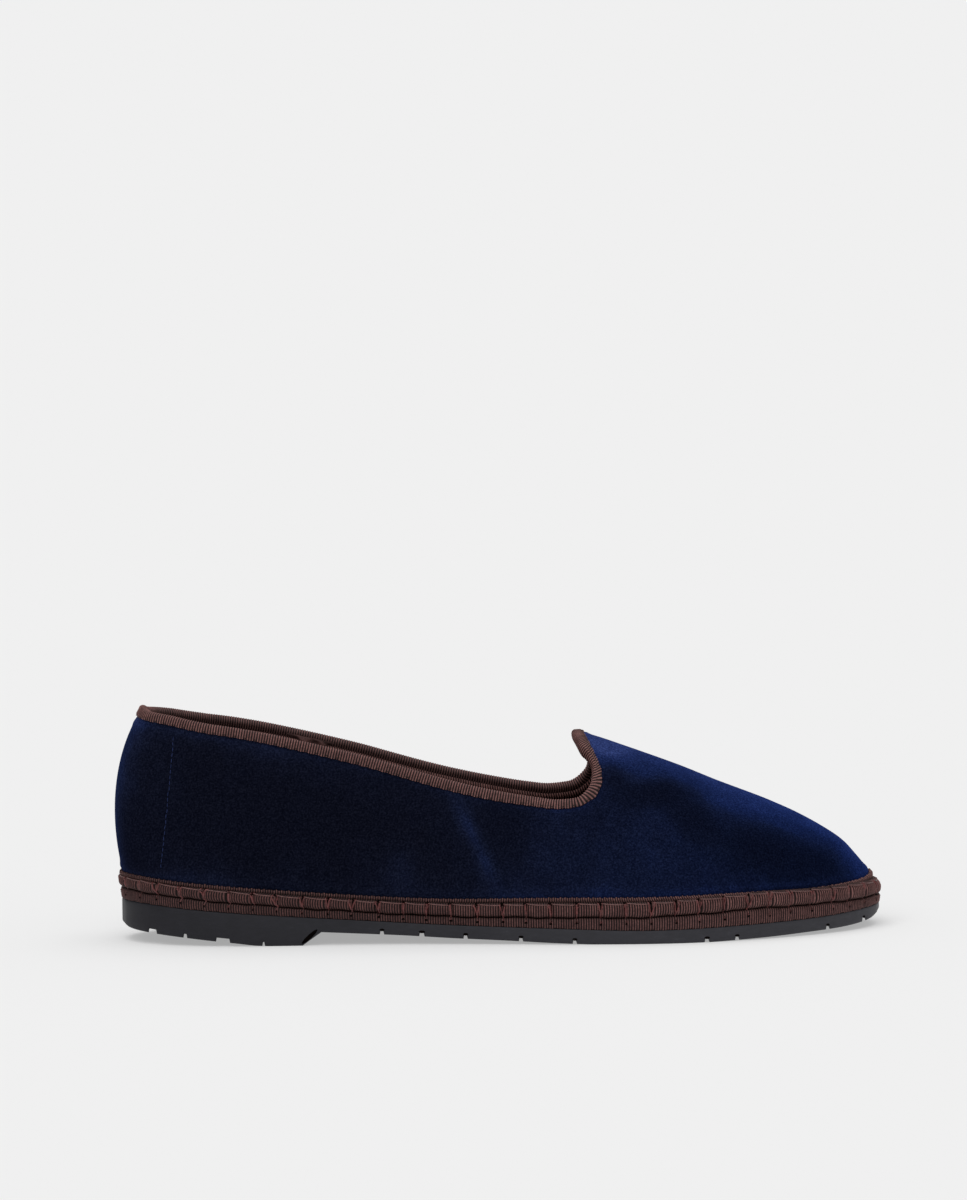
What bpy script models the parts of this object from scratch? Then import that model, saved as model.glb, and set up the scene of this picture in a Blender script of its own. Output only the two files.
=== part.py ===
"""A right velvet slipper loafer: hollow upper, taped collar, rolled foxing, wrapped midsole, heeled rubber sole."""

import math

import bpy
import bmesh
import numpy as np

MM = 0.001

# Driving sizes: the sole
SOLE_LENGTH = 283.0 * MM
BALL_WIDTH = 96.0 * MM
FOREFOOT_RUBBER = 5.0 * MM
HEEL_RUBBER = 16.6 * MM
HEEL_CURL = 4.4 * MM
ARCH_RISE = 5.2 * MM
TOE_SPRING = 3.2 * MM
BREAST = 66.5 * MM
BREAST_SLOPE = 7.0 * MM
TREAD_DEPTH = 1.5 * MM
TREAD_GROOVE = 2.0 * MM
EDGE_ROUND = 0.7 * MM
MIDSOLE_BAND = 5.0 * MM
BAND_SET_BACK = 0.5 * MM
INSOLE_THICKNESS = 3.4 * MM

# Driving sizes: the foxing, a soft roll with a thin lip against the upper
FOXING_HEIGHT = 6.5 * MM
FOXING_BULGE = 0.2 * MM
LIP_THICKNESS = 0.8 * MM

# Driving sizes: the upper and the tape on its collar
INSTEP = 64.0 * MM
COLLAR_HEIGHT = 65.0 * MM
HEEL_CENTRE = 33.0 * MM
UPPER_WALL = 2.0 * MM
SEAT_BACK = 2.3 * MM
SEAT_BACK_TOE = 2.2 * MM
TAPE = 0.8 * MM
TAPE_OUTSIDE = 3.0 * MM
TAPE_INSIDE = 4.4 * MM

# Clearance kept between neighbouring pieces
GAP = 0.3 * MM

# Least room between the sole's stations, and between a station and the sole's ends
STATION_ROOM = 1.2 * MM
END_ROOM = 0.2 * MM

# Mesh density
COLUMNS = 88
STATIONS = 34
MIDDLE_ROWS = 5

# Sole outline: share of the length, lateral and medial half widths as shares of the ball width
OUTLINE = [
    (0.030, 0.205, 0.205),
    (0.085, 0.306, 0.306),
    (0.180, 0.356, 0.346),
    (0.300, 0.366, 0.318),
    (0.420, 0.399, 0.299),
    (0.540, 0.457, 0.340),
    (0.640, 0.501, 0.425),
    (0.730, 0.504, 0.488),
    (0.820, 0.434, 0.474),
    (0.900, 0.318, 0.402),
    (0.960, 0.180, 0.292),
]
TOE_TIP_SHIFT = 0.073

# Heel bottom behind its flat spot: share of the length, share of the heel curl
HEEL_BOTTOM = [
    (0.0, 1.50),
    (0.012, 1.15),
    (0.035, 0.98),
    (0.085, 0.66),
    (0.116, 0.45),
    (0.148, 0.24),
    (0.176, 0.04),
    (0.190, 0.0),
]

# Waist between breast and ball: share of the length, share of the arch rise
ARCH_BOTTOM = [(0.24, 1.0), (0.30, 0.83), (0.37, 0.64), (0.43, 0.44), (0.50, 0.27), (0.56, 0.10), (0.61, 0.0)]

# Toe in front of the ball: share of the length, share of the toe spring
TOE_BOTTOM = [(0.77, 0.0), (0.845, 0.18), (0.905, 0.40), (0.935, 0.50), (0.965, 0.70), (0.985, 1.0), (1.0, 1.75)]

# Top of the rubber: share of the length, share of the heel rubber, share of the toe spring
RUBBER_TOP = [
    (0.00, 0.89, 0.00),
    (0.02, 0.88, 0.00),
    (0.085, 0.755, 0.00),
    (0.18, 0.58, 0.00),
    (0.31, 0.36, 0.00),
    (0.43, 0.19, 0.00),
    (0.56, 0.08, 0.00),
    (0.69, 0.00, 0.00),
    (0.81, 0.00, 0.19),
    (0.91, 0.00, 0.42),
    (0.965, 0.00, 0.72),
    (1.00, 0.00, 0.95),
]

# Tread grooves that reach the edge: share of the length at the middle, width as a share of the tread groove
TREAD = [
    (0.040, 1.5),
    (0.082, 0.7),
    (0.131, 2.6),
    (0.184, 0.5),
    (0.339, 0.8),
    (0.391, 1.0),
    (0.448, 0.8),
    (0.520, 0.8),
    (0.590, 0.8),
    (0.763, 0.9),
    (0.803, 0.8),
    (0.925, 0.7),
    (0.975, 0.7),
]

# Band of the midsole under the foxing: share of the length, share of the midsole band
BAND = [(0.0, 0.86), (0.10, 0.76), (0.37, 0.62), (0.68, 0.98), (0.84, 1.16), (0.90, 1.03), (0.95, 0.88), (1.0, 0.66)]

# Foxing roll: share of its height, set back from the sole outline as a share of the seat back
ROLL = [(0.0, 0.42), (0.18, 0.10), (0.42, 0.0), (0.64, 0.12), (0.76, 0.42)]
LIP_FOOT = 0.80

# Top of the foxing's lip: share of the way round the sole, share of the foxing height
LIP = [
    (0.0, 0.93),
    (0.10, 0.89),
    (0.33, 0.89),
    (0.42, 0.94),
    (0.50, 1.04),
    (0.60, 1.11),
    (0.73, 1.17),
    (0.86, 1.15),
    (1.0, 1.22),
]

# Crest of the upper: share of the length, share of the instep, share of the collar height
CREST = [
    (0.000, 0.00, 1.23),
    (0.060, 0.02, 1.27),
    (0.116, 0.06, 1.33),
    (0.24, 0.30, 1.14),
    (0.36, 0.62, 0.76),
    (0.49, 0.95, 0.26),
    (0.57, 0.972, 0.00),
    (0.600, 0.990, 0.00),
    (0.613, 0.997, 0.00),
    (0.628, 0.979, 0.00),
    (0.673, 0.908, 0.00),
    (0.737, 0.793, 0.00),
    (0.800, 0.662, 0.00),
    (0.864, 0.541, 0.00),
    (0.896, 0.478, 0.00),
    (0.928, 0.401, 0.00),
    (0.960, 0.302, 0.00),
    (0.975, 0.229, 0.00),
    (0.991, 0.134, 0.00),
    (1.000, 0.000, 0.00),
]

# Crest line in plan: share of the length, share of the toe tip shift
CREST_SHIFT = [(0.0, 0.0), (0.116, 0.0), (0.35, -0.1), (0.48, 0.0), (0.6, 0.25), (0.75, 0.6), (0.9, 0.9), (1.0, 1.0)]

# Sections: share of the length, then swell at the base, height of the swell, width of the shoulder, a side each
SECTIONS = [
    (0.000, 0.400, 0.520, 0.84, 0.400, 0.520, 0.84),
    (0.030, 0.360, 0.490, 0.72, 0.360, 0.490, 0.72),
    (0.060, 0.290, 0.440, 0.48, 0.290, 0.440, 0.48),
    (0.116, 0.190, 0.400, 0.33, 0.190, 0.400, 0.33),
    (0.240, 0.090, 0.400, 0.33, 0.110, 0.400, 0.37),
    (0.360, 0.060, 0.430, 0.30, 0.100, 0.420, 0.37),
    (0.500, 0.050, 0.450, 0.42, 0.080, 0.440, 0.46),
    (0.600, 0.055, 0.470, 0.52, 0.075, 0.470, 0.52),
    (0.700, 0.060, 0.520, 0.53, 0.050, 0.520, 0.53),
    (0.800, 0.050, 0.580, 0.56, 0.040, 0.600, 0.56),
    (0.900, 0.030, 0.580, 0.58, 0.030, 0.600, 0.58),
    (0.960, 0.010, 0.560, 0.56, 0.010, 0.560, 0.56),
    (1.000, 0.000, 0.550, 0.55, 0.000, 0.550, 0.55),
]

# Edge of the collar: share of the length, share of the collar height, share of the instep, both above the deck
COLLAR = [
    (0.000, 1.000, 0.000),
    (0.040, 0.984, 0.000),
    (0.078, 0.975, 0.000),
    (0.116, 0.970, 0.000),
    (0.148, 0.964, 0.000),
    (0.187, 0.950, 0.000),
    (0.226, 0.929, 0.000),
    (0.276, 0.896, 0.000),
    (0.325, 0.857, 0.000),
    (0.367, 0.815, 0.000),
    (0.442, 0.738, 0.000),
    (0.495, 0.690, 0.000),
    (0.544, 0.653, 0.000),
    (0.573, 0.000, 0.647),
    (0.599, 0.000, 0.656),
    (0.6155, 0.000, 0.695),
    (0.6265, 0.000, 0.765),
    (0.6285, 0.000, 0.833),
    (0.6217, 0.000, 0.898),
    (0.6120, 0.000, 0.945),
    (0.6042, 0.000, 0.992),
]

# Columns of the shell: share of the way round the sole, share of the way round the collar
FAN = [(0.0, 0.0), (0.16, 0.175), (0.37, 0.51), (0.58, 0.80), (0.71, 0.90), (0.83, 0.955), (1.0, 1.0)]

COLOURS = {
    "outsole": ((0.020, 0.020, 0.022, 1.0), 0.60),
    "midsole": ((0.085, 0.055, 0.045, 1.0), 0.85),
    "foxing": ((0.095, 0.060, 0.048, 1.0), 0.85),
    "insole": ((0.030, 0.020, 0.018, 1.0), 0.80),
    "upper": ((0.010, 0.016, 0.055, 1.0), 0.95),
    "collar_binding": ((0.095, 0.060, 0.048, 1.0), 0.85),
}


def curve(rows, column=1):
    """Return a smooth function through one column of a table, with no overshoot between its rows."""
    xs = np.array([row[0] for row in rows])
    ys = np.array([row[column] for row in rows])
    steps = np.diff(xs)
    slopes = np.diff(ys) / steps
    tangents = np.zeros_like(ys)
    tangents[0] = slopes[0]
    tangents[-1] = slopes[-1]
    for i in range(1, len(xs) - 1):
        if slopes[i - 1] * slopes[i] > 0:
            before = 2 * steps[i] + steps[i - 1]
            after = steps[i] + 2 * steps[i - 1]
            tangents[i] = (before + after) / (before / slopes[i - 1] + after / slopes[i])

    def value(x):
        x = np.clip(np.asarray(x, float), xs[0], xs[-1])
        i = np.clip(np.searchsorted(xs, x) - 1, 0, len(xs) - 2)
        t = (x - xs[i]) / steps[i]
        start = (2 * t**3 - 3 * t**2 + 1) * ys[i] + (t**3 - 2 * t**2 + t) * steps[i] * tangents[i]
        end = (-2 * t**3 + 3 * t**2) * ys[i + 1] + (t**3 - t**2) * steps[i] * tangents[i + 1]
        return start + end

    return value


def closed_spline(points, samples):
    """Return a smooth closed curve through plan points, with no kink at any of them."""
    p = np.array(points, float)
    count = len(p)
    chords = np.linalg.norm(np.roll(p, -1, 0) - p, axis=1)
    matrix = np.zeros((count, count))
    right = np.zeros((count, 2))
    for i in range(count):
        before, after, following = chords[i - 1], chords[i], (i + 1) % count
        matrix[i, i - 1] = after
        matrix[i, i] = 2 * (before + after)
        matrix[i, following] = before
        right[i] = 3 * (after * (p[i] - p[i - 1]) / before + before * (p[following] - p[i]) / after)
    tangents = np.linalg.solve(matrix, right)
    pieces = []
    for i in range(count):
        j = (i + 1) % count
        steps = max(2, int(round(samples * chords[i] / chords.sum())))
        t = np.linspace(0, 1, steps, endpoint=False)[:, None]
        start = (2 * t**3 - 3 * t**2 + 1) * p[i] + (t**3 - 2 * t**2 + t) * chords[i] * tangents[i]
        end = (-2 * t**3 + 3 * t**2) * p[j] + (t**3 - t**2) * chords[i] * tangents[j]
        pieces.append(start + end)
    return np.vstack(pieces)


def outline_points():
    """Return the sole outline's own points: heel, lateral side, toe, medial side."""
    points = [(0.0, 0.0)]
    points += [(station * SOLE_LENGTH, -lateral * BALL_WIDTH) for station, lateral, _ in OUTLINE]
    points += [(SOLE_LENGTH, TOE_TIP_SHIFT * BALL_WIDTH)]
    points += [(station * SOLE_LENGTH, medial * BALL_WIDTH) for station, _, medial in reversed(OUTLINE)]
    return points


def outward(loop):
    """Return the unit normals of a plan loop that runs heel, lateral side, toe, medial side."""
    along = np.roll(loop, -1, 0) - np.roll(loop, 1, 0)
    normals = np.column_stack((along[:, 1], -along[:, 0]))
    return normals / np.linalg.norm(normals, axis=1)[:, None]


SOLE = closed_spline(outline_points(), 2400)
SOLE_NORMALS = outward(SOLE)
TIP = int(SOLE[:, 0].argmax())


def by_share(values, share, tip=TIP):
    """Read a loop at a share from -1 to 1: 0 at the heel, -1 and 1 at the toe tip, negative on the lateral side."""
    lateral = values[: tip + 1]
    medial = np.vstack((values[tip:], values[:1]))[::-1]
    result = []
    for piece in (lateral, medial):
        way = np.concatenate(([0.0], np.cumsum(np.linalg.norm(np.diff(piece[:, :2], axis=0), axis=1))))
        way = way / way[-1]
        result.append(np.column_stack([np.interp(np.abs(share), way, piece[:, i]) for i in range(piece.shape[1])]))
    return np.where((np.asarray(share) < 0)[:, None], result[0], result[1])


def set_in(distance):
    """Return the sole outline set in by a distance, one for each of its points or one for all."""
    return SOLE - SOLE_NORMALS * np.broadcast_to(distance, (len(SOLE),))[:, None]


heel_share = curve(RUBBER_TOP, 1)
toe_share = curve(RUBBER_TOP, 2)
band_share = curve(BAND)
heel_curl = curve(HEEL_BOTTOM)
arch_rise = curve(ARCH_BOTTOM)
toe_rise = curve(TOE_BOTTOM)
lip_share = curve(LIP)


def rubber_top(x):
    """Return the height of the rubber's upper face."""
    station = np.asarray(x) / SOLE_LENGTH
    heel = (HEEL_RUBBER - FOREFOOT_RUBBER) * heel_share(station)
    return FOREFOOT_RUBBER + heel + TOE_SPRING * toe_share(station)


def deck(x):
    """Return the height of the line between the midsole and what stands on it."""
    return rubber_top(x) + MIDSOLE_BAND * band_share(np.asarray(x) / SOLE_LENGTH)


def foxing_height(shares):
    """Return how far the foxing stands up at shares round the sole."""
    return FOXING_HEIGHT * lip_share(np.abs(shares))


def smooth_bottom(x):
    """Return the height of the sole's underside without its tread grooves."""
    x = np.asarray(x, float)
    station = x / SOLE_LENGTH
    heel = HEEL_CURL * heel_curl(station)
    waist = ARCH_RISE * arch_rise(station)
    slope = np.clip((x - BREAST) / BREAST_SLOPE, 0.0, 1.0)
    return np.where(x < BREAST + BREAST_SLOPE, heel + waist * slope, waist + TOE_SPRING * toe_rise(station))


def bottom_stations():
    """Return the stations of the sole's underside and whether each lies in a tread groove."""
    ends = 0.5 - 0.5 * np.cos(np.linspace(0, math.pi, STATIONS + 1))
    plain = [share * SOLE_LENGTH for share in ends[1:-1]]
    plain += [BREAST, BREAST + BREAST_SLOPE]
    grooves = [(share * SOLE_LENGTH, width * TREAD_GROOVE / 2) for share, width in TREAD]
    rows = [(x, False) for x in plain if all(abs(x - middle) > half + STATION_ROOM for middle, half in grooves)]
    for middle, half in grooves:
        rows += [(middle - half, False), (middle - half + GAP, True), (middle + half - GAP, True), (middle + half, False)]
    return sorted(rows)


def at_station(loop, xs):
    """Return the lateral and the medial point of a plan loop at each station."""
    tip = int(loop[:, 0].argmax())
    heel = int(loop[:, 0].argmin())
    turned = np.roll(loop, -heel, 0)
    tip = (tip - heel) % len(loop)
    lateral = turned[: tip + 1]
    medial = np.vstack((turned[tip:], turned[:1]))[::-1]
    return [np.column_stack((xs, np.interp(xs, side[:, 0], side[:, 1]))) for side in (lateral, medial)]


# The last: the edge on which the upper stands, its crest and its sections
station_of_edge = SOLE[:, 0] / SOLE_LENGTH
SEAT = set_in(SEAT_BACK + (SEAT_BACK_TOE - SEAT_BACK) * station_of_edge**2)
SEAT_TIP = SEAT[:, 0].max()

crest_instep = curve([(math.sqrt(1.0 - s), a) for s, a, _ in reversed(CREST)])
crest_collar = curve([(math.sqrt(1.0 - s), b) for s, _, b in reversed(CREST)])
crest_shift = curve(CREST_SHIFT)
swell = {-1: curve(SECTIONS, 1), 1: curve(SECTIONS, 4)}
swell_height = {-1: curve(SECTIONS, 2), 1: curve(SECTIONS, 5)}
shoulder = {-1: curve(SECTIONS, 3), 1: curve(SECTIONS, 6)}


def crest_y(x):
    """Return where the crest lies across the foot."""
    return TOE_TIP_SHIFT * BALL_WIDTH * crest_shift(np.asarray(x) / SOLE_LENGTH)


def seat_reach(a, side):
    """Return the middle, the direction and the distance of the upper's foot at a station of the last.

    In front of the heel centre a station is a plane across the foot; behind it the planes fan round the heel.
    """
    a = np.asarray(a, float)
    turn = np.clip(1.0 - a / HEEL_CENTRE, 0.0, 1.0) * math.pi / 2
    middle_x = np.maximum(a, HEEL_CENTRE)
    middle = np.column_stack((middle_x, crest_y(middle_x)))
    direction = np.column_stack((-np.sin(turn), side * np.cos(turn)))
    lateral, medial = at_station(SEAT, middle_x)
    straight = np.abs((lateral if side < 0 else medial)[:, 1] - middle[:, 1])
    heel_middle = np.array([HEEL_CENTRE, float(crest_y(HEEL_CENTRE))])
    arms = SEAT - heel_middle
    behind = (arms[:, 0] <= 0) & (arms[:, 1] * side >= 0)
    angles = np.arctan2(-arms[behind, 0], np.abs(arms[behind, 1]))
    order = np.argsort(angles)
    fanned = np.interp(turn, angles[order], np.linalg.norm(arms[behind], axis=1)[order])
    return middle, direction, np.where(a < HEEL_CENTRE, fanned, straight)


def last_point(a, way, side):
    """Return points on the upper's outer face: way is 0 at the sole and 1 at the crest."""
    a = np.clip(np.asarray(a, float), 0.0, SEAT_TIP)
    way = np.asarray(way, float)
    middle, direction, reach = seat_reach(a, side)
    share = np.clip(a / SEAT_TIP, 0.0, 1.0)
    root = np.sqrt(1.0 - share)
    foot = deck(middle[:, 0] + direction[:, 0] * reach) + GAP / 2
    rise = INSTEP * crest_instep(root) + COLLAR_HEIGHT * crest_collar(root)
    u = 1.0 - way
    out = u**3 + 3 * u**2 * way * (1 + swell[side](share)) + 3 * u * way**2 * shoulder[side](share)
    up = 3 * u**2 * way * swell_height[side](share) + 3 * u * way**2 + way**3
    plan = middle + direction * (reach * out)[:, None]
    return np.column_stack((plan, foot + rise * up))


def last_from_plan(plan):
    """Return points of the outer face from places in the flat plan of the last."""
    plan = np.asarray(plan, float)
    result = np.zeros((len(plan), 3))
    heel_y = float(crest_y(HEEL_CENTRE))
    behind = plan[:, 0] < HEEL_CENTRE
    across = plan[:, 1] - np.where(behind, heel_y, crest_y(plan[:, 0]))
    back = HEEL_CENTRE - plan[:, 0]
    turn = np.arctan2(np.maximum(back, 0.0), np.abs(across))
    a = np.where(behind, HEEL_CENTRE * (1 - turn / (math.pi / 2)), plan[:, 0])
    distance = np.where(behind, np.hypot(back, across), np.abs(across))
    for side in (-1, 1):
        mine = across < 0 if side < 0 else across >= 0
        if mine.any():
            reach = np.maximum(seat_reach(a[mine], side)[2], 1e-9)
            way = 1.0 - np.clip(distance[mine] / reach, 0.0, 1.0)
            result[mine] = last_point(a[mine], way, side)
    return result


def collar_loop(samples):
    """Return the collar's edge in the flat plan: heel, lateral side, tongue, medial side, and the tongue's place."""
    stations = [row[0] * SEAT_TIP for row in COLLAR]
    levels = [row[1] * COLLAR_HEIGHT + row[2] * INSTEP for row in COLLAR]
    knots = np.linspace(0.0, 1.0, len(COLLAR))
    t = np.linspace(0.0, 1.0, samples)
    a = curve(list(zip(knots, stations)))(t)
    level = curve(list(zip(knots, levels)))(t)
    halves = []
    for side in (-1, 1):
        foot = last_point(a, np.zeros(samples), side)[:, 2]
        low, high = np.zeros(samples), np.ones(samples)
        for _ in range(30):
            way = (low + high) / 2
            below = last_point(a, way, side)[:, 2] - foot < level
            low, high = np.where(below, way, low), np.where(below, high, way)
        way[-1] = 1.0
        middle, direction, reach = seat_reach(a, side)
        halves.append(middle + direction * (reach * (1.0 - way))[:, None])
    return np.vstack((halves[0], halves[1][::-1][1:-1])), samples - 1


def half_shares(count):
    """Return shares round the sole for an even number of columns, heel first, lateral side next."""
    half = count // 2
    lateral = -np.linspace(0, 1, half, endpoint=False)
    medial = np.linspace(1, 0, half, endpoint=False)
    shares = np.concatenate((lateral, medial))
    shares[0] = 0.0
    return shares


def shell(columns, from_collar, from_sole, middle_rows):
    """Return points and outward normals of the outer face, rows from the collar down, columns round the foot.

    Rows from the collar are lengths square to its edge, those from the sole shares of the foxing's height.
    """
    fine = columns * 4
    shares = half_shares(fine)
    collar, tongue = collar_loop(400)
    fan = curve(FAN)
    feet = by_share(SEAT, shares)
    tops_share = np.sign(shares) * fan(np.abs(shares))
    edge = last_from_plan(collar)
    tops = by_share(np.column_stack((edge, collar)), tops_share, tip=tongue)[:, 3:]
    steps = np.linspace(0.0, 1.0, 81)
    grid = np.array([last_from_plan(tops * (1 - s) + feet * s) for s in steps])
    way = np.concatenate((np.zeros((1, fine)), np.cumsum(np.linalg.norm(np.diff(grid, axis=0), axis=2), axis=0)))
    along = np.roll(grid[0], -1, 0) - np.roll(grid[0], 1, 0)
    start = grid[4] - grid[0]
    sine = np.linalg.norm(np.cross(along, start), axis=1)
    sine /= np.linalg.norm(along, axis=1) * np.linalg.norm(start, axis=1)
    slant = 1.0 / np.clip(sine, 0.5, 1.0)
    rows = [d * slant for d in from_collar]
    top = rows[-1]
    bottom = way[-1] - from_sole[0] * foxing_height(shares)
    for i in range(1, middle_rows + 1):
        rows.append(top + (bottom - top) * i / (middle_rows + 1))
    rows += [way[-1] - share * foxing_height(shares) for share in from_sole]
    points = np.zeros((len(rows), fine, 3))
    for j, row in enumerate(rows):
        s = np.array([np.interp(row[k], way[:, k], steps) for k in range(fine)])[:, None]
        points[j] = last_from_plan(tops * (1 - s) + feet * s)
    round_foot = np.roll(points, -1, 1) - np.roll(points, 1, 1)
    down = np.gradient(points, axis=0)
    normals = np.cross(down, round_foot)
    normals /= np.linalg.norm(normals, axis=2)[:, :, None]
    return points[:, ::4], normals[:, ::4]


def make_object(name, vertices, faces):
    """Make one closed mesh object with its own material."""
    mesh = bpy.data.meshes.new(name)
    bm = bmesh.new()
    made = [bm.verts.new(tuple(v)) for v in vertices]
    for face in faces:
        bm.faces.new([made[i] for i in face])
    bmesh.ops.triangulate(bm, faces=[f for f in bm.faces if len(f.verts) > 3])
    bmesh.ops.recalc_face_normals(bm, faces=bm.faces[:])
    if bm.calc_volume(signed=True) < 0:
        bmesh.ops.reverse_faces(bm, faces=bm.faces[:])
    bm.to_mesh(mesh)
    bm.free()
    mesh.shade_smooth()
    mesh.set_sharp_from_angle(angle=math.radians(35))
    colour, roughness = COLOURS[name]
    material = bpy.data.materials.new(name + "_material")
    material.use_nodes = True
    shader = material.node_tree.nodes["Principled BSDF"]
    shader.inputs["Base Color"].default_value = colour
    shader.inputs["Roughness"].default_value = roughness
    shader.inputs["Metallic"].default_value = 0.0
    mesh.materials.append(material)
    thing = bpy.data.objects.new(name, mesh)
    bpy.context.scene.collection.objects.link(thing)
    return thing


def ring_solid(name, rings):
    """Make a closed ring from loops of equal length, each bridged to the next and the last to the first."""
    count = len(rings[0])
    vertices = np.vstack(rings)
    faces = []
    for j in range(len(rings)):
        below = (j + 1) % len(rings)
        for k in range(count):
            right = (k + 1) % count
            faces.append((j * count + k, j * count + right, below * count + right, below * count + k))
    return make_object(name, vertices, faces)


def plate_solid(name, levels, xs, tips):
    """Make a plate from levels of lateral and medial points at the same stations, with a point at each end."""
    rows = len(xs)
    vertices = []
    for (lateral, medial), (heel, toe) in zip(levels, tips):
        vertices += [heel] + list(lateral) + [toe] + list(medial[::-1])
    loop = 2 * rows + 2
    faces = []
    for level in range(len(levels) - 1):
        for k in range(loop):
            right = (k + 1) % loop
            faces.append((level * loop + k, level * loop + right, (level + 1) * loop + right, (level + 1) * loop + k))
    for level in (0, len(levels) - 1):
        base = level * loop
        faces.append((base, base + 1, base + loop - 1))
        for i in range(1, rows):
            faces.append((base + i, base + i + 1, base + loop - i - 1, base + loop - i))
        faces.append((base + rows, base + rows + 1, base + rows + 2))
    return make_object(name, vertices, faces)


def plate_level(loop, xs, height):
    """Return a plate level's lateral and medial points and its two end points, at a height that follows x."""
    lateral, medial = at_station(loop, xs)
    sides = []
    for side in (lateral, medial):
        sides.append(np.column_stack((side, height(side[:, 0]))))
    ends = []
    for index in (int(loop[:, 0].argmin()), int(loop[:, 0].argmax())):
        x, y = loop[index]
        ends.append((x, y, float(height(x))))
    return sides, ends


def fit_stations(loop, count):
    """Return stations inside a plan loop, closer together near its two ends."""
    shares = 0.5 - 0.5 * np.cos(np.linspace(0, math.pi, count + 1))[1:-1]
    low, high = loop[:, 0].min(), loop[:, 0].max()
    return low + (high - low) * shares


def build_outsole():
    """Make the rubber sole with its heel, breast, waist, toe spring and tread grooves."""
    rows = bottom_stations()
    xs = np.array([x for x, _ in rows])
    deep = np.array([TREAD_DEPTH if groove else 0.0 for _, groove in rows])
    side = set_in(BAND_SET_BACK)
    foot = set_in(BAND_SET_BACK + EDGE_ROUND)
    keep = (xs > foot[:, 0].min() + END_ROOM) & (xs < foot[:, 0].max() - END_ROOM)
    xs, deep = xs[keep], deep[keep]

    def under(x):
        return smooth_bottom(x) + np.interp(x, xs, deep)

    def over(x):
        return rubber_top(x)

    def shoulder_line(x):
        return smooth_bottom(x) + np.interp(x, xs, deep) + EDGE_ROUND

    levels, ends = [], []
    for loop, height in ((foot, under), (side, shoulder_line), (side, over)):
        level, tips = plate_level(loop, xs, height)
        levels.append(level)
        ends.append(tips)
    return plate_solid("outsole", levels, xs, ends)


def build_midsole():
    """Make the tape-wrapped midsole that shows as a flat band under the foxing."""
    loop = set_in(BAND_SET_BACK)
    xs = fit_stations(loop, STATIONS)
    levels, ends = [], []
    for height in (lambda x: rubber_top(x) + GAP, lambda x: deck(x) - GAP / 2):
        level, tips = plate_level(loop, xs, height)
        levels.append(level)
        ends.append(tips)
    return plate_solid("midsole", levels, xs, ends)


def build_insole():
    """Make the insole that lies inside the upper on the midsole."""
    room = 2 * GAP + UPPER_WALL
    loop = set_in(SEAT_BACK + room + (SEAT_BACK_TOE - SEAT_BACK + 1.5 * UPPER_WALL) * station_of_edge**3)
    xs = fit_stations(loop, STATIONS)
    levels, ends = [], []
    for height in (lambda x: deck(x) + GAP / 2, lambda x: deck(x) + GAP / 2 + INSOLE_THICKNESS):
        level, tips = plate_level(loop, xs, height)
        levels.append(level)
        ends.append(tips)
    return plate_solid("insole", levels, xs, ends)


TAPE_ROWS = [0.0, TAPE_OUTSIDE / 2, TAPE_OUTSIDE, TAPE_INSIDE]
FOXING_ROWS = [1.0, LIP_FOOT, LIP_FOOT / 2, 0.0]


def build_upper(points, normals):
    """Make the hollow upper, open at the collar and underneath."""
    inner = points - normals * UPPER_WALL
    inner[-1, :, 2] = deck(inner[-1, :, 0]) + GAP / 2
    rings = [row for row in points] + [row for row in inner[::-1]]
    return ring_solid("upper", rings)


def build_binding(points, normals):
    """Make the tape folded over the collar's edge, with its outer and inner leg."""
    edge, half, low, deep = range(4)
    along = np.roll(points[edge], -1, 0) - np.roll(points[edge], 1, 0)
    up = np.cross(normals[edge], along)
    up /= np.linalg.norm(up, axis=1)[:, None]
    near = GAP
    far = GAP + TAPE
    back = UPPER_WALL + GAP
    outer = [points[low] + normals[low] * far, points[half] + normals[half] * far, points[edge] + normals[edge] * far]
    top = [
        points[edge] + normals[edge] * (0.45 * far) + up * (0.75 * far),
        points[edge] - normals[edge] * (0.5 * UPPER_WALL) + up * far,
        points[edge] - normals[edge] * (UPPER_WALL + 0.45 * far) + up * (0.75 * far),
    ]
    inner = [points[row] - normals[row] * (back + TAPE) for row in (edge, half, low, deep)]
    lining = [points[row] - normals[row] * back for row in (deep, low, half)]
    lining += [points[edge] - normals[edge] * back + up * near, points[edge] + normals[edge] * near + up * near]
    cloth = [points[row] + normals[row] * near for row in (half, low)]
    return ring_solid("collar_binding", outer + top + inner + lining + cloth)


def build_foxing(points, normals):
    """Make the rolled foxing round the foot of the upper, with its thin lip."""
    lip_top, lip_foot, middle, foot = (len(points) - 4 + i for i in range(4))
    shares = half_shares(COLUMNS)
    roll = []
    for height, back in ROLL:
        plan = by_share(set_in(SEAT_BACK * back - FOXING_BULGE * (1 - back)), shares)
        level = deck(plan[:, 0]) + GAP / 2 + foxing_height(shares) * height
        roll.append(np.column_stack((plan, level)))
    lip = [points[row] + normals[row] * (GAP + LIP_THICKNESS) for row in (lip_foot, lip_top)]
    cloth = [points[row] + normals[row] * GAP for row in (lip_top, lip_foot, middle)]
    base = points[foot] + normals[foot] * GAP
    base[:, 2] = deck(base[:, 0]) + GAP / 2
    return ring_solid("foxing", roll + lip + cloth + [base])


def stand_on_origin(things):
    """Move the model so that the origin lies under the middle of its bounds."""
    corners = np.array([tuple(v.co) for thing in things for v in thing.data.vertices])
    low, high = corners.min(0), corners.max(0)
    shift = ((low[0] + high[0]) / 2, (low[1] + high[1]) / 2, low[2])
    for thing in things:
        for vertex in thing.data.vertices:
            vertex.co = [vertex.co[i] - shift[i] for i in range(3)]


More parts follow.
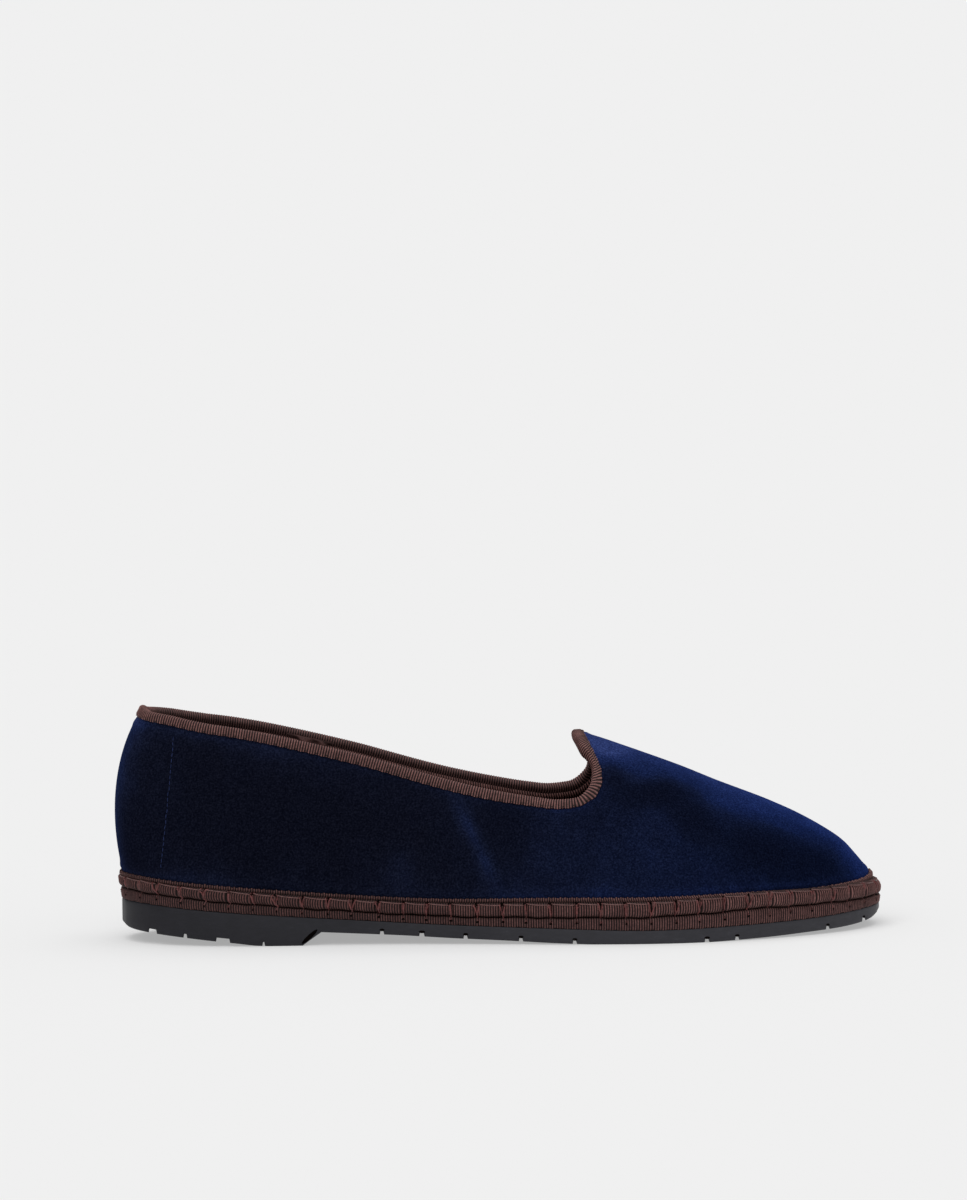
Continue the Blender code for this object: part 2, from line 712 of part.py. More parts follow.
def main():
    for thing in list(bpy.data.objects):
        bpy.data.objects.remove(thing, do_unlink=True)
    points, normals = shell(COLUMNS, TAPE_ROWS, FOXING_ROWS, MIDDLE_ROWS)
    things = [
        build_outsole(),
        build_midsole(),
        build_insole(),
        build_upper(points, normals),
        build_binding(points, normals),
        build_foxing(points, normals),
    ]
    stand_on_origin(things)


main()
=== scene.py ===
"""Looks of the velvet slipper loafer: velvet, ribbed tape, threads, rubber, lining, floor, light and camera.

The sizes, tables and shape functions of the first half are those of the solids, so the looks lie on them.
"""

import math

import bmesh
import bpy
import numpy as np
from mathutils import Matrix, Vector


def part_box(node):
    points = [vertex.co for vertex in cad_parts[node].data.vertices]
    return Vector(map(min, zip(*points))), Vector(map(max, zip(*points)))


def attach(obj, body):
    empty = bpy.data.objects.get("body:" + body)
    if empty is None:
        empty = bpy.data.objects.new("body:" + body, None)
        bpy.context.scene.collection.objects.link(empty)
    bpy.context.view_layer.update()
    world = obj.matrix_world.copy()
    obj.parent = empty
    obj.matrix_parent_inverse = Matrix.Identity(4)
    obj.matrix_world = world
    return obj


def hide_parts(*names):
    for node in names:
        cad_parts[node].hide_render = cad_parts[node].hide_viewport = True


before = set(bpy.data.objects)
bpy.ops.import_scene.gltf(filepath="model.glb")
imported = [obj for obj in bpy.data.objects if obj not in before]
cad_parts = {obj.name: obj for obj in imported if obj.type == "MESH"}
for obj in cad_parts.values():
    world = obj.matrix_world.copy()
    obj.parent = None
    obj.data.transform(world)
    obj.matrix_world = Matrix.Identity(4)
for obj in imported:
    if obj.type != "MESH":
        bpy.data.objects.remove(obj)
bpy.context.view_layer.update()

MM = 0.001

# Driving sizes: the sole
SOLE_LENGTH = 283.0 * MM
BALL_WIDTH = 96.0 * MM
FOREFOOT_RUBBER = 5.0 * MM
HEEL_RUBBER = 16.6 * MM
HEEL_CURL = 4.4 * MM
ARCH_RISE = 5.2 * MM
TOE_SPRING = 3.2 * MM
BREAST = 66.5 * MM
BREAST_SLOPE = 7.0 * MM
TREAD_DEPTH = 1.5 * MM
TREAD_GROOVE = 2.0 * MM
EDGE_ROUND = 0.7 * MM
MIDSOLE_BAND = 5.0 * MM
BAND_SET_BACK = 0.5 * MM
INSOLE_THICKNESS = 3.4 * MM

# Driving sizes: the foxing, a soft roll with a thin lip against the upper
FOXING_HEIGHT = 6.5 * MM
FOXING_BULGE = 0.2 * MM
LIP_THICKNESS = 0.8 * MM
LIP_FOOT = 0.80

# Driving sizes: the upper and the tape on its collar
INSTEP = 64.0 * MM
COLLAR_HEIGHT = 65.0 * MM
HEEL_CENTRE = 33.0 * MM
UPPER_WALL = 2.0 * MM
SEAT_BACK = 2.3 * MM
SEAT_BACK_TOE = 2.2 * MM
TAPE = 0.8 * MM
TAPE_OUTSIDE = 3.0 * MM
TAPE_INSIDE = 4.4 * MM

# Clearance kept between neighbouring pieces, and number of the solid midsole's stations
GAP = 0.3 * MM
STATIONS = 34

# Fine sizes of the looks: ribs, stitches, threads, pinches and pillows of the foxing, velvet
RIB = 0.93 * MM
RIB_DEPTH = 0.15 * MM
RIB_POINTS = 4
STITCHES = 70
STITCH_POINTS = 40
ROUND_SOLE = 643.0 * MM
ROUND_COLLAR = 410.0 * MM
STITCH_PITCH = ROUND_SOLE / STITCHES
THREAD = 0.33 * MM
PINCH = 1.05 * MM
PINCH_WIDTH = 0.80 * MM
PUFF = 0.50 * MM
PUFF_EDGE = 1.6 * MM
VELVET = 0.9 * MM
SEAM_STITCH = 2.1 * MM
SEAM_GAP = 0.25 * MM
SEAM_FOOT = 14.0 * MM
SEAM_LEAN = 6.3 * MM
SEAM_LOW = 24.0
SEAM_HIGH = 78.0
SEAM_PRESS = 0.30 * MM
SEAM_WIDTH = 0.55 * MM
SEAM_THREAD = 0.17 * MM
SEED = 11

# Swell of the velvet below the collar tape and above the lip: distance, width, height; rows kept inside
TAPE_SWELL = (1.4 * MM, 1.3 * MM, 0.28 * MM)
LIP_SWELL = (1.9 * MM, 1.5 * MM, 0.45 * MM)
INNER_ROWS = [0, 2, 4, 12, 24, 36, 48, 60, 68, 72, 76]

# Tape join inside the medial side: from and to along the shoe, and its grid
JOIN_START = 63.0 * MM
JOIN_END = 83.0 * MM
JOIN_COLUMNS = 42
JOIN_ROWS = 9

# Finenesses: points of the sole outline and of half the collar, columns of the shells, stations of the sole
SOLE_SAMPLES = 2400
COLLAR_SAMPLES = 700
VELVET_COLUMNS = 520
LINING_COLUMNS = 260
FINE_COLUMNS = 1600
RUBBER_STATIONS = 180
SOCK_STATIONS = 120

# Sole outline: share of the length, lateral and medial half widths as shares of the ball width
OUTLINE = [
    (0.030, 0.205, 0.205), (0.085, 0.306, 0.306), (0.180, 0.356, 0.346), (0.300, 0.366, 0.318),
    (0.420, 0.399, 0.299), (0.540, 0.457, 0.340), (0.640, 0.501, 0.425), (0.730, 0.504, 0.488),
    (0.820, 0.434, 0.474), (0.900, 0.318, 0.402), (0.960, 0.180, 0.292),
]
TOE_TIP_SHIFT = 0.073

# Heel bottom behind its flat spot: share of the length, share of the heel curl
HEEL_BOTTOM = [
    (0.0, 1.50), (0.012, 1.15), (0.035, 0.98), (0.085, 0.66), (0.116, 0.45), (0.148, 0.24), (0.176, 0.04),
    (0.190, 0.0),
]

# Waist between breast and ball: share of the length, share of the arch rise
ARCH_BOTTOM = [(0.24, 1.0), (0.30, 0.83), (0.37, 0.64), (0.43, 0.44), (0.50, 0.27), (0.56, 0.10), (0.61, 0.0)]

# Toe in front of the ball: share of the length, share of the toe spring
TOE_BOTTOM = [
    (0.77, 0.0), (0.845, 0.18), (0.905, 0.40), (0.935, 0.50), (0.965, 0.70), (0.985, 1.0), (1.0, 1.75),
]

# Top of the rubber: share of the length, share of the heel rubber, share of the toe spring
RUBBER_TOP = [
    (0.00, 0.89, 0.00), (0.02, 0.88, 0.00), (0.085, 0.755, 0.00), (0.18, 0.58, 0.00), (0.31, 0.36, 0.00),
    (0.43, 0.19, 0.00), (0.56, 0.08, 0.00), (0.69, 0.00, 0.00), (0.81, 0.00, 0.19), (0.91, 0.00, 0.42),
    (0.965, 0.00, 0.72), (1.00, 0.00, 0.95),
]

# Tread grooves that reach the edge: share of the length at the middle, width as a share of the tread groove
TREAD = [
    (0.040, 1.5), (0.082, 0.7), (0.131, 2.6), (0.184, 0.5), (0.339, 0.8), (0.391, 1.0), (0.448, 0.8),
    (0.520, 0.8), (0.590, 0.8), (0.763, 0.9), (0.803, 0.8), (0.925, 0.7), (0.975, 0.7),
]

# Band of the midsole under the foxing: share of the length, share of the midsole band
BAND = [
    (0.0, 0.86), (0.10, 0.76), (0.37, 0.62), (0.68, 0.98), (0.84, 1.16), (0.90, 1.03), (0.95, 0.88),
    (1.0, 0.66),
]

# Top of the foxing's lip: share of the way round the sole, share of the foxing height
LIP = [
    (0.0, 0.93), (0.10, 0.89), (0.33, 0.89), (0.42, 0.94), (0.50, 1.04), (0.60, 1.11), (0.73, 1.17),
    (0.86, 1.15), (1.0, 1.22),
]

# Crest of the upper: share of the length, share of the instep, share of the collar height
CREST = [
    (0.000, 0.000, 1.23), (0.060, 0.020, 1.27), (0.116, 0.060, 1.33), (0.240, 0.300, 1.14),
    (0.360, 0.620, 0.76), (0.490, 0.950, 0.26), (0.570, 0.972, 0.00), (0.600, 0.990, 0.00),
    (0.613, 0.997, 0.00), (0.628, 0.979, 0.00), (0.673, 0.908, 0.00), (0.737, 0.793, 0.00),
    (0.800, 0.662, 0.00), (0.864, 0.541, 0.00), (0.896, 0.478, 0.00), (0.928, 0.401, 0.00),
    (0.960, 0.302, 0.00), (0.975, 0.229, 0.00), (0.991, 0.134, 0.00), (1.000, 0.000, 0.00),
]

# Crest line in plan: share of the length, share of the toe tip shift
CREST_SHIFT = [
    (0.0, 0.0), (0.116, 0.0), (0.35, -0.1), (0.48, 0.0), (0.6, 0.25), (0.75, 0.6), (0.9, 0.9), (1.0, 1.0),
]

# Sections: share of the length, then a side each: swell at the base, its height, width of the shoulder
SECTIONS = [
    (0.000, 0.400, 0.520, 0.84, 0.400, 0.520, 0.84),
    (0.030, 0.360, 0.490, 0.72, 0.360, 0.490, 0.72),
    (0.060, 0.290, 0.440, 0.48, 0.290, 0.440, 0.48),
    (0.116, 0.190, 0.400, 0.33, 0.190, 0.400, 0.33),
    (0.240, 0.090, 0.400, 0.33, 0.110, 0.400, 0.37),
    (0.360, 0.060, 0.430, 0.30, 0.100, 0.420, 0.37),
    (0.500, 0.050, 0.450, 0.42, 0.080, 0.440, 0.46),
    (0.600, 0.055, 0.470, 0.52, 0.075, 0.470, 0.52),
    (0.700, 0.060, 0.520, 0.53, 0.050, 0.520, 0.53),
    (0.800, 0.050, 0.580, 0.56, 0.040, 0.600, 0.56),
    (0.900, 0.030, 0.580, 0.58, 0.030, 0.600, 0.58),
    (0.960, 0.010, 0.560, 0.56, 0.010, 0.560, 0.56),
    (1.000, 0.000, 0.550, 0.55, 0.000, 0.550, 0.55),
]

# Edge of the collar above the deck: share of the length, share of the collar height, share of the instep
COLLAR = [
    (0.000, 1.000, 0.000), (0.040, 0.984, 0.000), (0.078, 0.975, 0.000), (0.116, 0.970, 0.000),
    (0.148, 0.964, 0.000), (0.187, 0.950, 0.000), (0.226, 0.929, 0.000), (0.276, 0.896, 0.000),
    (0.325, 0.857, 0.000), (0.367, 0.815, 0.000), (0.442, 0.738, 0.000), (0.495, 0.690, 0.000),
    (0.544, 0.653, 0.000), (0.573, 0.000, 0.647), (0.599, 0.000, 0.656), (0.6155, 0.000, 0.695),
    (0.6265, 0.000, 0.765), (0.6285, 0.000, 0.833), (0.6217, 0.000, 0.898), (0.6120, 0.000, 0.945),
    (0.6042, 0.000, 0.992),
]

# Columns of the shell: share of the way round the sole, share of the way round the collar
FAN = [(0.0, 0.0), (0.16, 0.175), (0.37, 0.51), (0.58, 0.80), (0.71, 0.90), (0.83, 0.955), (1.0, 1.0)]

# Soft bends of the velvet: x, z, half length, half width in mm, lean in degrees from upright, height in mm
FOLDS = [
    (131.5, 37.0, 19.0, 4.2, -25.0, 0.60),
    (143.0, 35.0, 14.0, 3.8, -20.0, -0.45),
    (122.0, 38.0, 15.0, 4.0, -25.0, -0.30),
    (155.0, 33.0, 16.0, 7.0, -15.0, 0.25),
    (102.0, 30.0, 14.0, 7.0, -15.0, 0.25),
    (86.0, 40.0, 20.0, 9.0, -6.0, 0.15),
    (200.0, 53.0, 12.0, 5.0, 90.0, -0.30),
    (186.0, 58.0, 6.0, 4.0, -20.0, -0.18),
    (193.0, 44.0, 14.0, 7.0, -20.0, 0.16),
    (228.0, 36.0, 14.0, 8.0, -60.0, -0.16),
    (55.0, 52.0, 16.0, 8.0, 12.0, 0.15),
]

# Lie of the pile with painted highlights and shade on the folds and the vamp's top: x, z, half length, half
# width in mm, lean in degrees from upright, lighter or darker
PILE_LIE_AND_PAINTED_LIGHT = [
    (182.0, 20.0, 32.0, 66.0, 0.0, 0.36),
    (250.0, 30.0, 30.0, 30.0, 0.0, 0.04),
    (131.5, 37.0, 18.0, 3.0, -25.0, 0.34),
    (126.5, 49.0, 8.0, 5.0, -25.0, 0.12),
    (145.0, 38.0, 18.0, 5.0, -18.0, -0.13),
    (116.0, 29.0, 10.0, 5.0, -12.0, -0.08),
    (101.0, 27.0, 10.0, 8.0, -15.0, 0.20),
    (68.0, 24.0, 7.0, 48.0, 0.0, 0.09),
    (32.0, 26.0, 5.0, 24.0, 0.0, 0.13),
    (56.0, 70.0, 42.0, 6.0, 107.0, 0.20),
    (60.0, 44.0, 24.0, 24.0, 0.0, -0.05),
    (12.0, 75.0, 6.0, 9.0, 20.0, 0.10),
    (-2.0, 46.0, 26.0, 7.0, 0.0, -0.12),
    (3.0, 31.0, 15.0, 9.0, 0.0, -0.26),
    (180.5, 70.0, 10.0, 5.5, -60.0, 0.55),
    (218.0, 54.0, 42.0, 6.5, -67.0, 0.12),
    (183.5, 60.5, 5.0, 4.0, 0.0, -0.20),
    (200.0, 54.0, 13.0, 4.8, 90.0, -0.40),
    (212.0, 45.0, 11.0, 6.0, -50.0, -0.26),
    (243.0, 31.0, 25.0, 8.0, -70.0, -0.42),
    (206.0, 30.0, 10.0, 16.0, -50.0, 0.06),
    (225.0, 20.0, 5.0, 40.0, 0.0, 0.05),
    (272.0, 28.0, 8.0, 6.0, -30.0, 0.12),
]

# Roll as it looks: share of the foxing's height, set back from the sole outline as a share of the seat back
ROLL_LOOK = [
    (0.0, 0.55), (0.05, 0.28), (0.16, 0.06), (0.36, 0.0), (0.52, 0.04), (0.64, 0.14), (0.73, 0.36),
    (0.80, 0.70),
]

# Rows of the roll: share of the foxing's height, painted shade of the tape, darkest in the crease and under
# the lip
ROLL_ROWS = [
    (0.0, 0.06), (0.02, 0.12), (0.06, 0.32), (0.12, 0.48), (0.20, 0.55), (0.30, 0.58), (0.40, 0.60),
    (0.50, 0.60), (0.58, 0.57), (0.65, 0.50), (0.71, 0.36), (0.76, 0.18), (0.80, 0.08),
]
# Painted shade of the lip's rows
LIP_PAINTED_SHADES = [0.40, 0.50, 0.56, 0.5, 0.4, 0.3, 0.3, 0.3]

# Band as it looks: share of its height, set back as a share of the band set back, strength of the ribs,
# painted shade, darkest under the roll and at its foot
BAND_LOOK = [
    (0.00, 3.2, 0.0, 0.30), (0.00, 1.3, 0.5, 0.34), (0.08, 0.8, 1.0, 0.46), (0.35, 0.55, 1.0, 0.48),
    (0.62, 0.45, 1.0, 0.47), (0.86, 0.55, 1.0, 0.43), (0.95, 1.0, 0.6, 0.30), (1.00, 1.9, 0.3, 0.12),
    (1.00, 4.2, 0.0, 0.05),
]

# Velvet: value of a painted sheen that lightens the velvet where its surface turns away from the view, with
# the pile's painted light and shade and a mottle added; colour
VELVET_TONES_AND_PAINTED_SHEEN = [
    (0.00, (0.0042, 0.0050, 0.0112)),
    (0.20, (0.0050, 0.0063, 0.0148)),
    (0.40, (0.0072, 0.0100, 0.0260)),
    (0.60, (0.0092, 0.0150, 0.0480)),
    (0.80, (0.0150, 0.0240, 0.0780)),
    (1.00, (0.0300, 0.0430, 0.1250)),
]

# Floor and light: brightness of the paper, share of it that the floor gives off as a painted glow, which
# lifts the shadows under the shoe, brightness of the sky, size of the floor, and per lamp its direction,
# power and spread in degrees
PAPER = 0.871
SHADOW_LIFTING_GLOW = 0.42
SKY = 0.40
FLOOR_SIZE = 400.0
LIGHTS = [
    ("key", (0.35, 0.75, -1.0), 1.0, 50.0),
    ("top", (-0.05, -0.20, -1.0), 1.0, 60.0),
]

# Camera: angles in degrees, distance, and the shoe's middle in the 967 by 1200 picture
ELEVATION = 6.0
CAMERA_ROLL = -0.8
AZIMUTH = -2.0
DISTANCE = 8.0
PIXELS_PER_METRE = 2689.0
IMAGE = (967, 1200)
SENSOR = 36.0
AIM_POINT = (0.0, 0.0, 0.0435)
AIM_PIXEL = (498.1, 815.4)


def curve(rows, column=1):
    """Return a smooth function through one column of a table, with no overshoot between its rows."""
    xs = np.array([row[0] for row in rows])
    ys = np.array([row[column] for row in rows])
    steps = np.diff(xs)
    slopes = np.diff(ys) / steps
    tangents = np.zeros_like(ys)
    tangents[0] = slopes[0]
    tangents[-1] = slopes[-1]
    for i in range(1, len(xs) - 1):
        if slopes[i - 1] * slopes[i] > 0:
            before = 2 * steps[i] + steps[i - 1]
            after = steps[i] + 2 * steps[i - 1]
            tangents[i] = (before + after) / (before / slopes[i - 1] + after / slopes[i])

    def value(x):
        x = np.clip(np.asarray(x, float), xs[0], xs[-1])
        i = np.clip(np.searchsorted(xs, x) - 1, 0, len(xs) - 2)
        t = (x - xs[i]) / steps[i]
        return hermite(t, ys[i], ys[i + 1], steps[i] * tangents[i], steps[i] * tangents[i + 1])

    return value


def hermite(t, start, end, leaving, arriving):
    """Return the cubic between two values with given slopes."""
    first = (2 * t**3 - 3 * t**2 + 1) * start + (t**3 - 2 * t**2 + t) * leaving
    return first + (-2 * t**3 + 3 * t**2) * end + (t**3 - t**2) * arriving


def closed_spline(points, samples):
    """Return a smooth closed curve through plan points, with no kink at any of them."""
    p = np.array(points, float)
    count = len(p)
    chords = np.linalg.norm(np.roll(p, -1, 0) - p, axis=1)
    matrix = np.zeros((count, count))
    right = np.zeros((count, 2))
    for i in range(count):
        before, after, following = chords[i - 1], chords[i], (i + 1) % count
        matrix[i, i - 1] = after
        matrix[i, i] = 2 * (before + after)
        matrix[i, following] = before
        right[i] = 3 * (after * (p[i] - p[i - 1]) / before + before * (p[following] - p[i]) / after)
    tangents = np.linalg.solve(matrix, right)
    pieces = []
    for i in range(count):
        j = (i + 1) % count
        steps = max(2, int(round(samples * chords[i] / chords.sum())))
        t = np.linspace(0, 1, steps, endpoint=False)[:, None]
        pieces.append(hermite(t, p[i], p[j], chords[i] * tangents[i], chords[i] * tangents[j]))
    return np.vstack(pieces)


def outline_points():
    """Return the sole outline's own points: heel, lateral side, toe, medial side."""
    points = [(0.0, 0.0)]
    points += [(station * SOLE_LENGTH, -lateral * BALL_WIDTH) for station, lateral, _ in OUTLINE]
    points += [(SOLE_LENGTH, TOE_TIP_SHIFT * BALL_WIDTH)]
    points += [(station * SOLE_LENGTH, medial * BALL_WIDTH) for station, _, medial in reversed(OUTLINE)]
    return points


def unit(vectors):
    """Return rows of vectors, each made one long."""
    return vectors / np.linalg.norm(vectors, axis=-1)[..., None]


SOLE = closed_spline(outline_points(), SOLE_SAMPLES)
SOLE_ALONG = np.roll(SOLE, -1, 0) - np.roll(SOLE, 1, 0)
SOLE_NORMALS = unit(np.column_stack((SOLE_ALONG[:, 1], -SOLE_ALONG[:, 0])))
TIP = int(SOLE[:, 0].argmax())


def by_share(values, share, tip=TIP):
    """Read a loop at shares from -1 to 1: 0 at the heel, -1 and 1 at the toe tip, lateral side negative."""
    lateral = values[: tip + 1]
    medial = np.vstack((values[tip:], values[:1]))[::-1]
    result = []
    for piece in (lateral, medial):
        way = np.concatenate(([0.0], np.cumsum(np.linalg.norm(np.diff(piece[:, :2], axis=0), axis=1))))
        way = way / way[-1]
        result.append(np.column_stack([np.interp(np.abs(share), way, column) for column in piece.T]))
    return np.where((np.asarray(share) < 0)[:, None], result[0], result[1])


def set_in(distance):
    """Return the sole outline set in by a distance, one for each of its points or one for all."""
    return SOLE - SOLE_NORMALS * np.broadcast_to(distance, (len(SOLE),))[:, None]


heel_share = curve(RUBBER_TOP, 1)
toe_share = curve(RUBBER_TOP, 2)
band_share = curve(BAND)
heel_curl = curve(HEEL_BOTTOM)
arch_rise = curve(ARCH_BOTTOM)
toe_rise = curve(TOE_BOTTOM)
lip_share = curve(LIP)


def rubber_top(x):
    """Return the height of the rubber's upper face."""
    station = np.asarray(x) / SOLE_LENGTH
    heel = (HEEL_RUBBER - FOREFOOT_RUBBER) * heel_share(station)
    return FOREFOOT_RUBBER + heel + TOE_SPRING * toe_share(station)


def deck(x):
    """Return the height of the line between the midsole and what stands on it."""
    return rubber_top(x) + MIDSOLE_BAND * band_share(np.asarray(x) / SOLE_LENGTH)


def foxing_height(shares):
    """Return how far the foxing stands up at shares round the sole."""
    return FOXING_HEIGHT * lip_share(np.abs(shares))


def smooth_bottom(x):
    """Return the height of the sole's underside without its tread grooves."""
    x = np.asarray(x, float)
    station = x / SOLE_LENGTH
    heel = HEEL_CURL * heel_curl(station)
    waist = ARCH_RISE * arch_rise(station)
    slope = np.clip((x - BREAST) / BREAST_SLOPE, 0.0, 1.0)
    return np.where(x < BREAST + BREAST_SLOPE, heel + waist * slope, waist + TOE_SPRING * toe_rise(station))


def at_station(loop, xs):
    """Return the lateral and the medial point of a plan loop at each station."""
    tip = int(loop[:, 0].argmax())
    heel = int(loop[:, 0].argmin())
    turned = np.roll(loop, -heel, 0)
    tip = (tip - heel) % len(loop)
    lateral = turned[: tip + 1]
    medial = np.vstack((turned[tip:], turned[:1]))[::-1]
    return [np.column_stack((xs, np.interp(xs, side[:, 0], side[:, 1]))) for side in (lateral, medial)]


# The last: the edge on which the upper stands, its crest and its sections
station_of_edge = SOLE[:, 0] / SOLE_LENGTH
SEAT = set_in(SEAT_BACK + (SEAT_BACK_TOE - SEAT_BACK) * station_of_edge**2)
SEAT_TIP = SEAT[:, 0].max()

crest_instep = curve([(math.sqrt(1.0 - s), a) for s, a, _ in reversed(CREST)])
crest_collar = curve([(math.sqrt(1.0 - s), b) for s, _, b in reversed(CREST)])
crest_shift = curve(CREST_SHIFT)
swell = {-1: curve(SECTIONS, 1), 1: curve(SECTIONS, 4)}
swell_height = {-1: curve(SECTIONS, 2), 1: curve(SECTIONS, 5)}
shoulder = {-1: curve(SECTIONS, 3), 1: curve(SECTIONS, 6)}


def crest_y(x):
    """Return where the crest lies across the foot."""
    return TOE_TIP_SHIFT * BALL_WIDTH * crest_shift(np.asarray(x) / SOLE_LENGTH)


def seat_reach(a, side):
    """Return the middle, the direction and the distance of the upper's foot at a station of the last.

    In front of the heel centre a station is a plane across the foot; behind it the planes fan round the heel.
    """
    a = np.asarray(a, float)
    turn = np.clip(1.0 - a / HEEL_CENTRE, 0.0, 1.0) * math.pi / 2
    middle_x = np.maximum(a, HEEL_CENTRE)
    middle = np.column_stack((middle_x, crest_y(middle_x)))
    direction = np.column_stack((-np.sin(turn), side * np.cos(turn)))
    lateral, medial = at_station(SEAT, middle_x)
    straight = np.abs((lateral if side < 0 else medial)[:, 1] - middle[:, 1])
    heel_middle = np.array([HEEL_CENTRE, float(crest_y(HEEL_CENTRE))])
    arms = SEAT - heel_middle
    behind = (arms[:, 0] <= 0) & (arms[:, 1] * side >= 0)
    angles = np.arctan2(-arms[behind, 0], np.abs(arms[behind, 1]))
    order = np.argsort(angles)
    fanned = np.interp(turn, angles[order], np.linalg.norm(arms[behind], axis=1)[order])
    return middle, direction, np.where(a < HEEL_CENTRE, fanned, straight)


def last_point(a, way, side):
    """Return points on the upper's outer face: way is 0 at the sole and 1 at the crest."""
    a = np.clip(np.asarray(a, float), 0.0, SEAT_TIP)
    way = np.asarray(way, float)
    middle, direction, reach = seat_reach(a, side)
    share = np.clip(a / SEAT_TIP, 0.0, 1.0)
    root = np.sqrt(1.0 - share)
    foot = deck(middle[:, 0] + direction[:, 0] * reach) + GAP / 2
    rise = INSTEP * crest_instep(root) + COLLAR_HEIGHT * crest_collar(root)
    u = 1.0 - way
    out = u**3 + 3 * u**2 * way * (1 + swell[side](share)) + 3 * u * way**2 * shoulder[side](share)
    up = 3 * u**2 * way * swell_height[side](share) + 3 * u * way**2 + way**3
    plan = middle + direction * (reach * out)[:, None]
    return np.column_stack((plan, foot + rise * up))


def last_from_plan(plan):
    """Return points of the outer face from places in the flat plan of the last."""
    plan = np.asarray(plan, float)
    result = np.zeros((len(plan), 3))
    heel_y = float(crest_y(HEEL_CENTRE))
    behind = plan[:, 0] < HEEL_CENTRE
    across = plan[:, 1] - np.where(behind, heel_y, crest_y(plan[:, 0]))
    back = HEEL_CENTRE - plan[:, 0]
    turn = np.arctan2(np.maximum(back, 0.0), np.abs(across))
    a = np.where(behind, HEEL_CENTRE * (1 - turn / (math.pi / 2)), plan[:, 0])
    distance = np.where(behind, np.hypot(back, across), np.abs(across))
    for side in (-1, 1):
        mine = across < 0 if side < 0 else across >= 0
        if mine.any():
            reach = np.maximum(seat_reach(a[mine], side)[2], 1e-9)
            way = 1.0 - np.clip(distance[mine] / reach, 0.0, 1.0)
            result[mine] = last_point(a[mine], way, side)
    return result


def collar_loop(samples):
    """Return the collar's edge in plan, heel, lateral side, tongue, medial side, and the tongue's place."""
    stations = [row[0] * SEAT_TIP for row in COLLAR]
    levels = [row[1] * COLLAR_HEIGHT + row[2] * INSTEP for row in COLLAR]
    knots = np.linspace(0.0, 1.0, len(COLLAR))
    t = np.linspace(0.0, 1.0, samples)
    a = curve(list(zip(knots, stations)))(t)
    level = curve(list(zip(knots, levels)))(t)
    halves = []
    for side in (-1, 1):
        foot = last_point(a, np.zeros(samples), side)[:, 2]
        low, high = np.zeros(samples), np.ones(samples)
        for _ in range(30):
            way = (low + high) / 2
            below = last_point(a, way, side)[:, 2] - foot < level
            low, high = np.where(below, way, low), np.where(below, high, way)
        way[-1] = 1.0
        middle, direction, reach = seat_reach(a, side)
        halves.append(middle + direction * (reach * (1.0 - way))[:, None])
    return np.vstack((halves[0], halves[1][::-1][1:-1])), samples - 1


# The collar's edge on the last with its place in plan, and how the shell's columns fan from it
edge_plan, TONGUE = collar_loop(COLLAR_SAMPLES)
COLLAR_EDGE = np.column_stack((last_from_plan(edge_plan), edge_plan))
fan = curve(FAN)


def lane(shares, from_collar, from_sole, middle_rows):
    """Return points, outward normals and way down of rows on the last's face, at shares of the sole.

    The rows lie at distances from the collar's edge, then evenly, then at distances from the sole.
    """
    feet = by_share(SEAT, shares)
    tops = by_share(COLLAR_EDGE, np.sign(shares) * fan(np.abs(shares)), tip=TONGUE)[:, 3:]
    steps = np.linspace(0.0, 1.0, 81)
    count = len(shares)
    grid = np.array([last_from_plan(tops * (1 - s) + feet * s) for s in steps])
    lengths = np.linalg.norm(np.diff(grid, axis=0), axis=2)
    way = np.concatenate((np.zeros((1, count)), np.cumsum(lengths, axis=0)))
    along = np.roll(grid[0], -1, 0) - np.roll(grid[0], 1, 0)
    sine = np.linalg.norm(np.cross(unit(along), unit(grid[4] - grid[0])), axis=1)
    slant = 1.0 / np.clip(sine, 0.5, 1.0)
    rows = [d * slant for d in from_collar]
    top, bottom = rows[-1], from_sole[0]
    for i in range(1, middle_rows + 1):
        rows.append(top + (way[-1] - bottom - top) * i / (middle_rows + 1))
    rows += [way[-1] - d for d in from_sole]
    wanted = np.array(rows)
    points = np.zeros((len(rows), count, 3))
    shares_down = np.zeros_like(wanted)
    for k in range(count):
        shares_down[:, k] = np.interp(wanted[:, k], way[:, k], steps)
    for j in range(len(rows)):
        s = shares_down[j][:, None]
        points[j] = last_from_plan(tops * (1 - s) + feet * s)
    round_foot = np.roll(points, -1, 1) - np.roll(points, 1, 1)
    return points, unit(np.cross(np.gradient(points, axis=0), round_foot)), wanted


def even_shares(count):
    """Return shares evenly round the sole, heel first, then lateral side, toe and medial side."""
    half = count // 2
    lateral = -np.linspace(0, 1, half, endpoint=False)
    lateral[0] = -1e-9
    return np.concatenate((lateral, np.linspace(1, 0, half, endpoint=False)))


def collar_shares(count):
    """Return shares round the sole whose columns are even along the collar."""
    fine = np.linspace(0.0, 1.0, 2000)
    shares = even_shares(count)
    return np.sign(shares) * np.interp(np.abs(shares), fan(fine), fine)


def cosine_steps(count):
    """Return shares between 0 and 1, closer together towards both ends."""
    return (0.5 - 0.5 * np.cos(np.linspace(0, math.pi, count + 1)))[1:-1]


def place():
    """Return the move from the sole's own frame to the shoe's frame, from where the solid midsole stands."""
    loop = set_in(BAND_SET_BACK)
    heel, tip = loop[:, 0].min(), loop[:, 0].max()
    lateral = at_station(loop, heel + (tip - heel) * cosine_steps(STATIONS))[0]
    low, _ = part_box("midsole")
    return np.array((low[0] - heel, low[1] - lateral[:, 1].min(), 0.0))


MOVE = place()


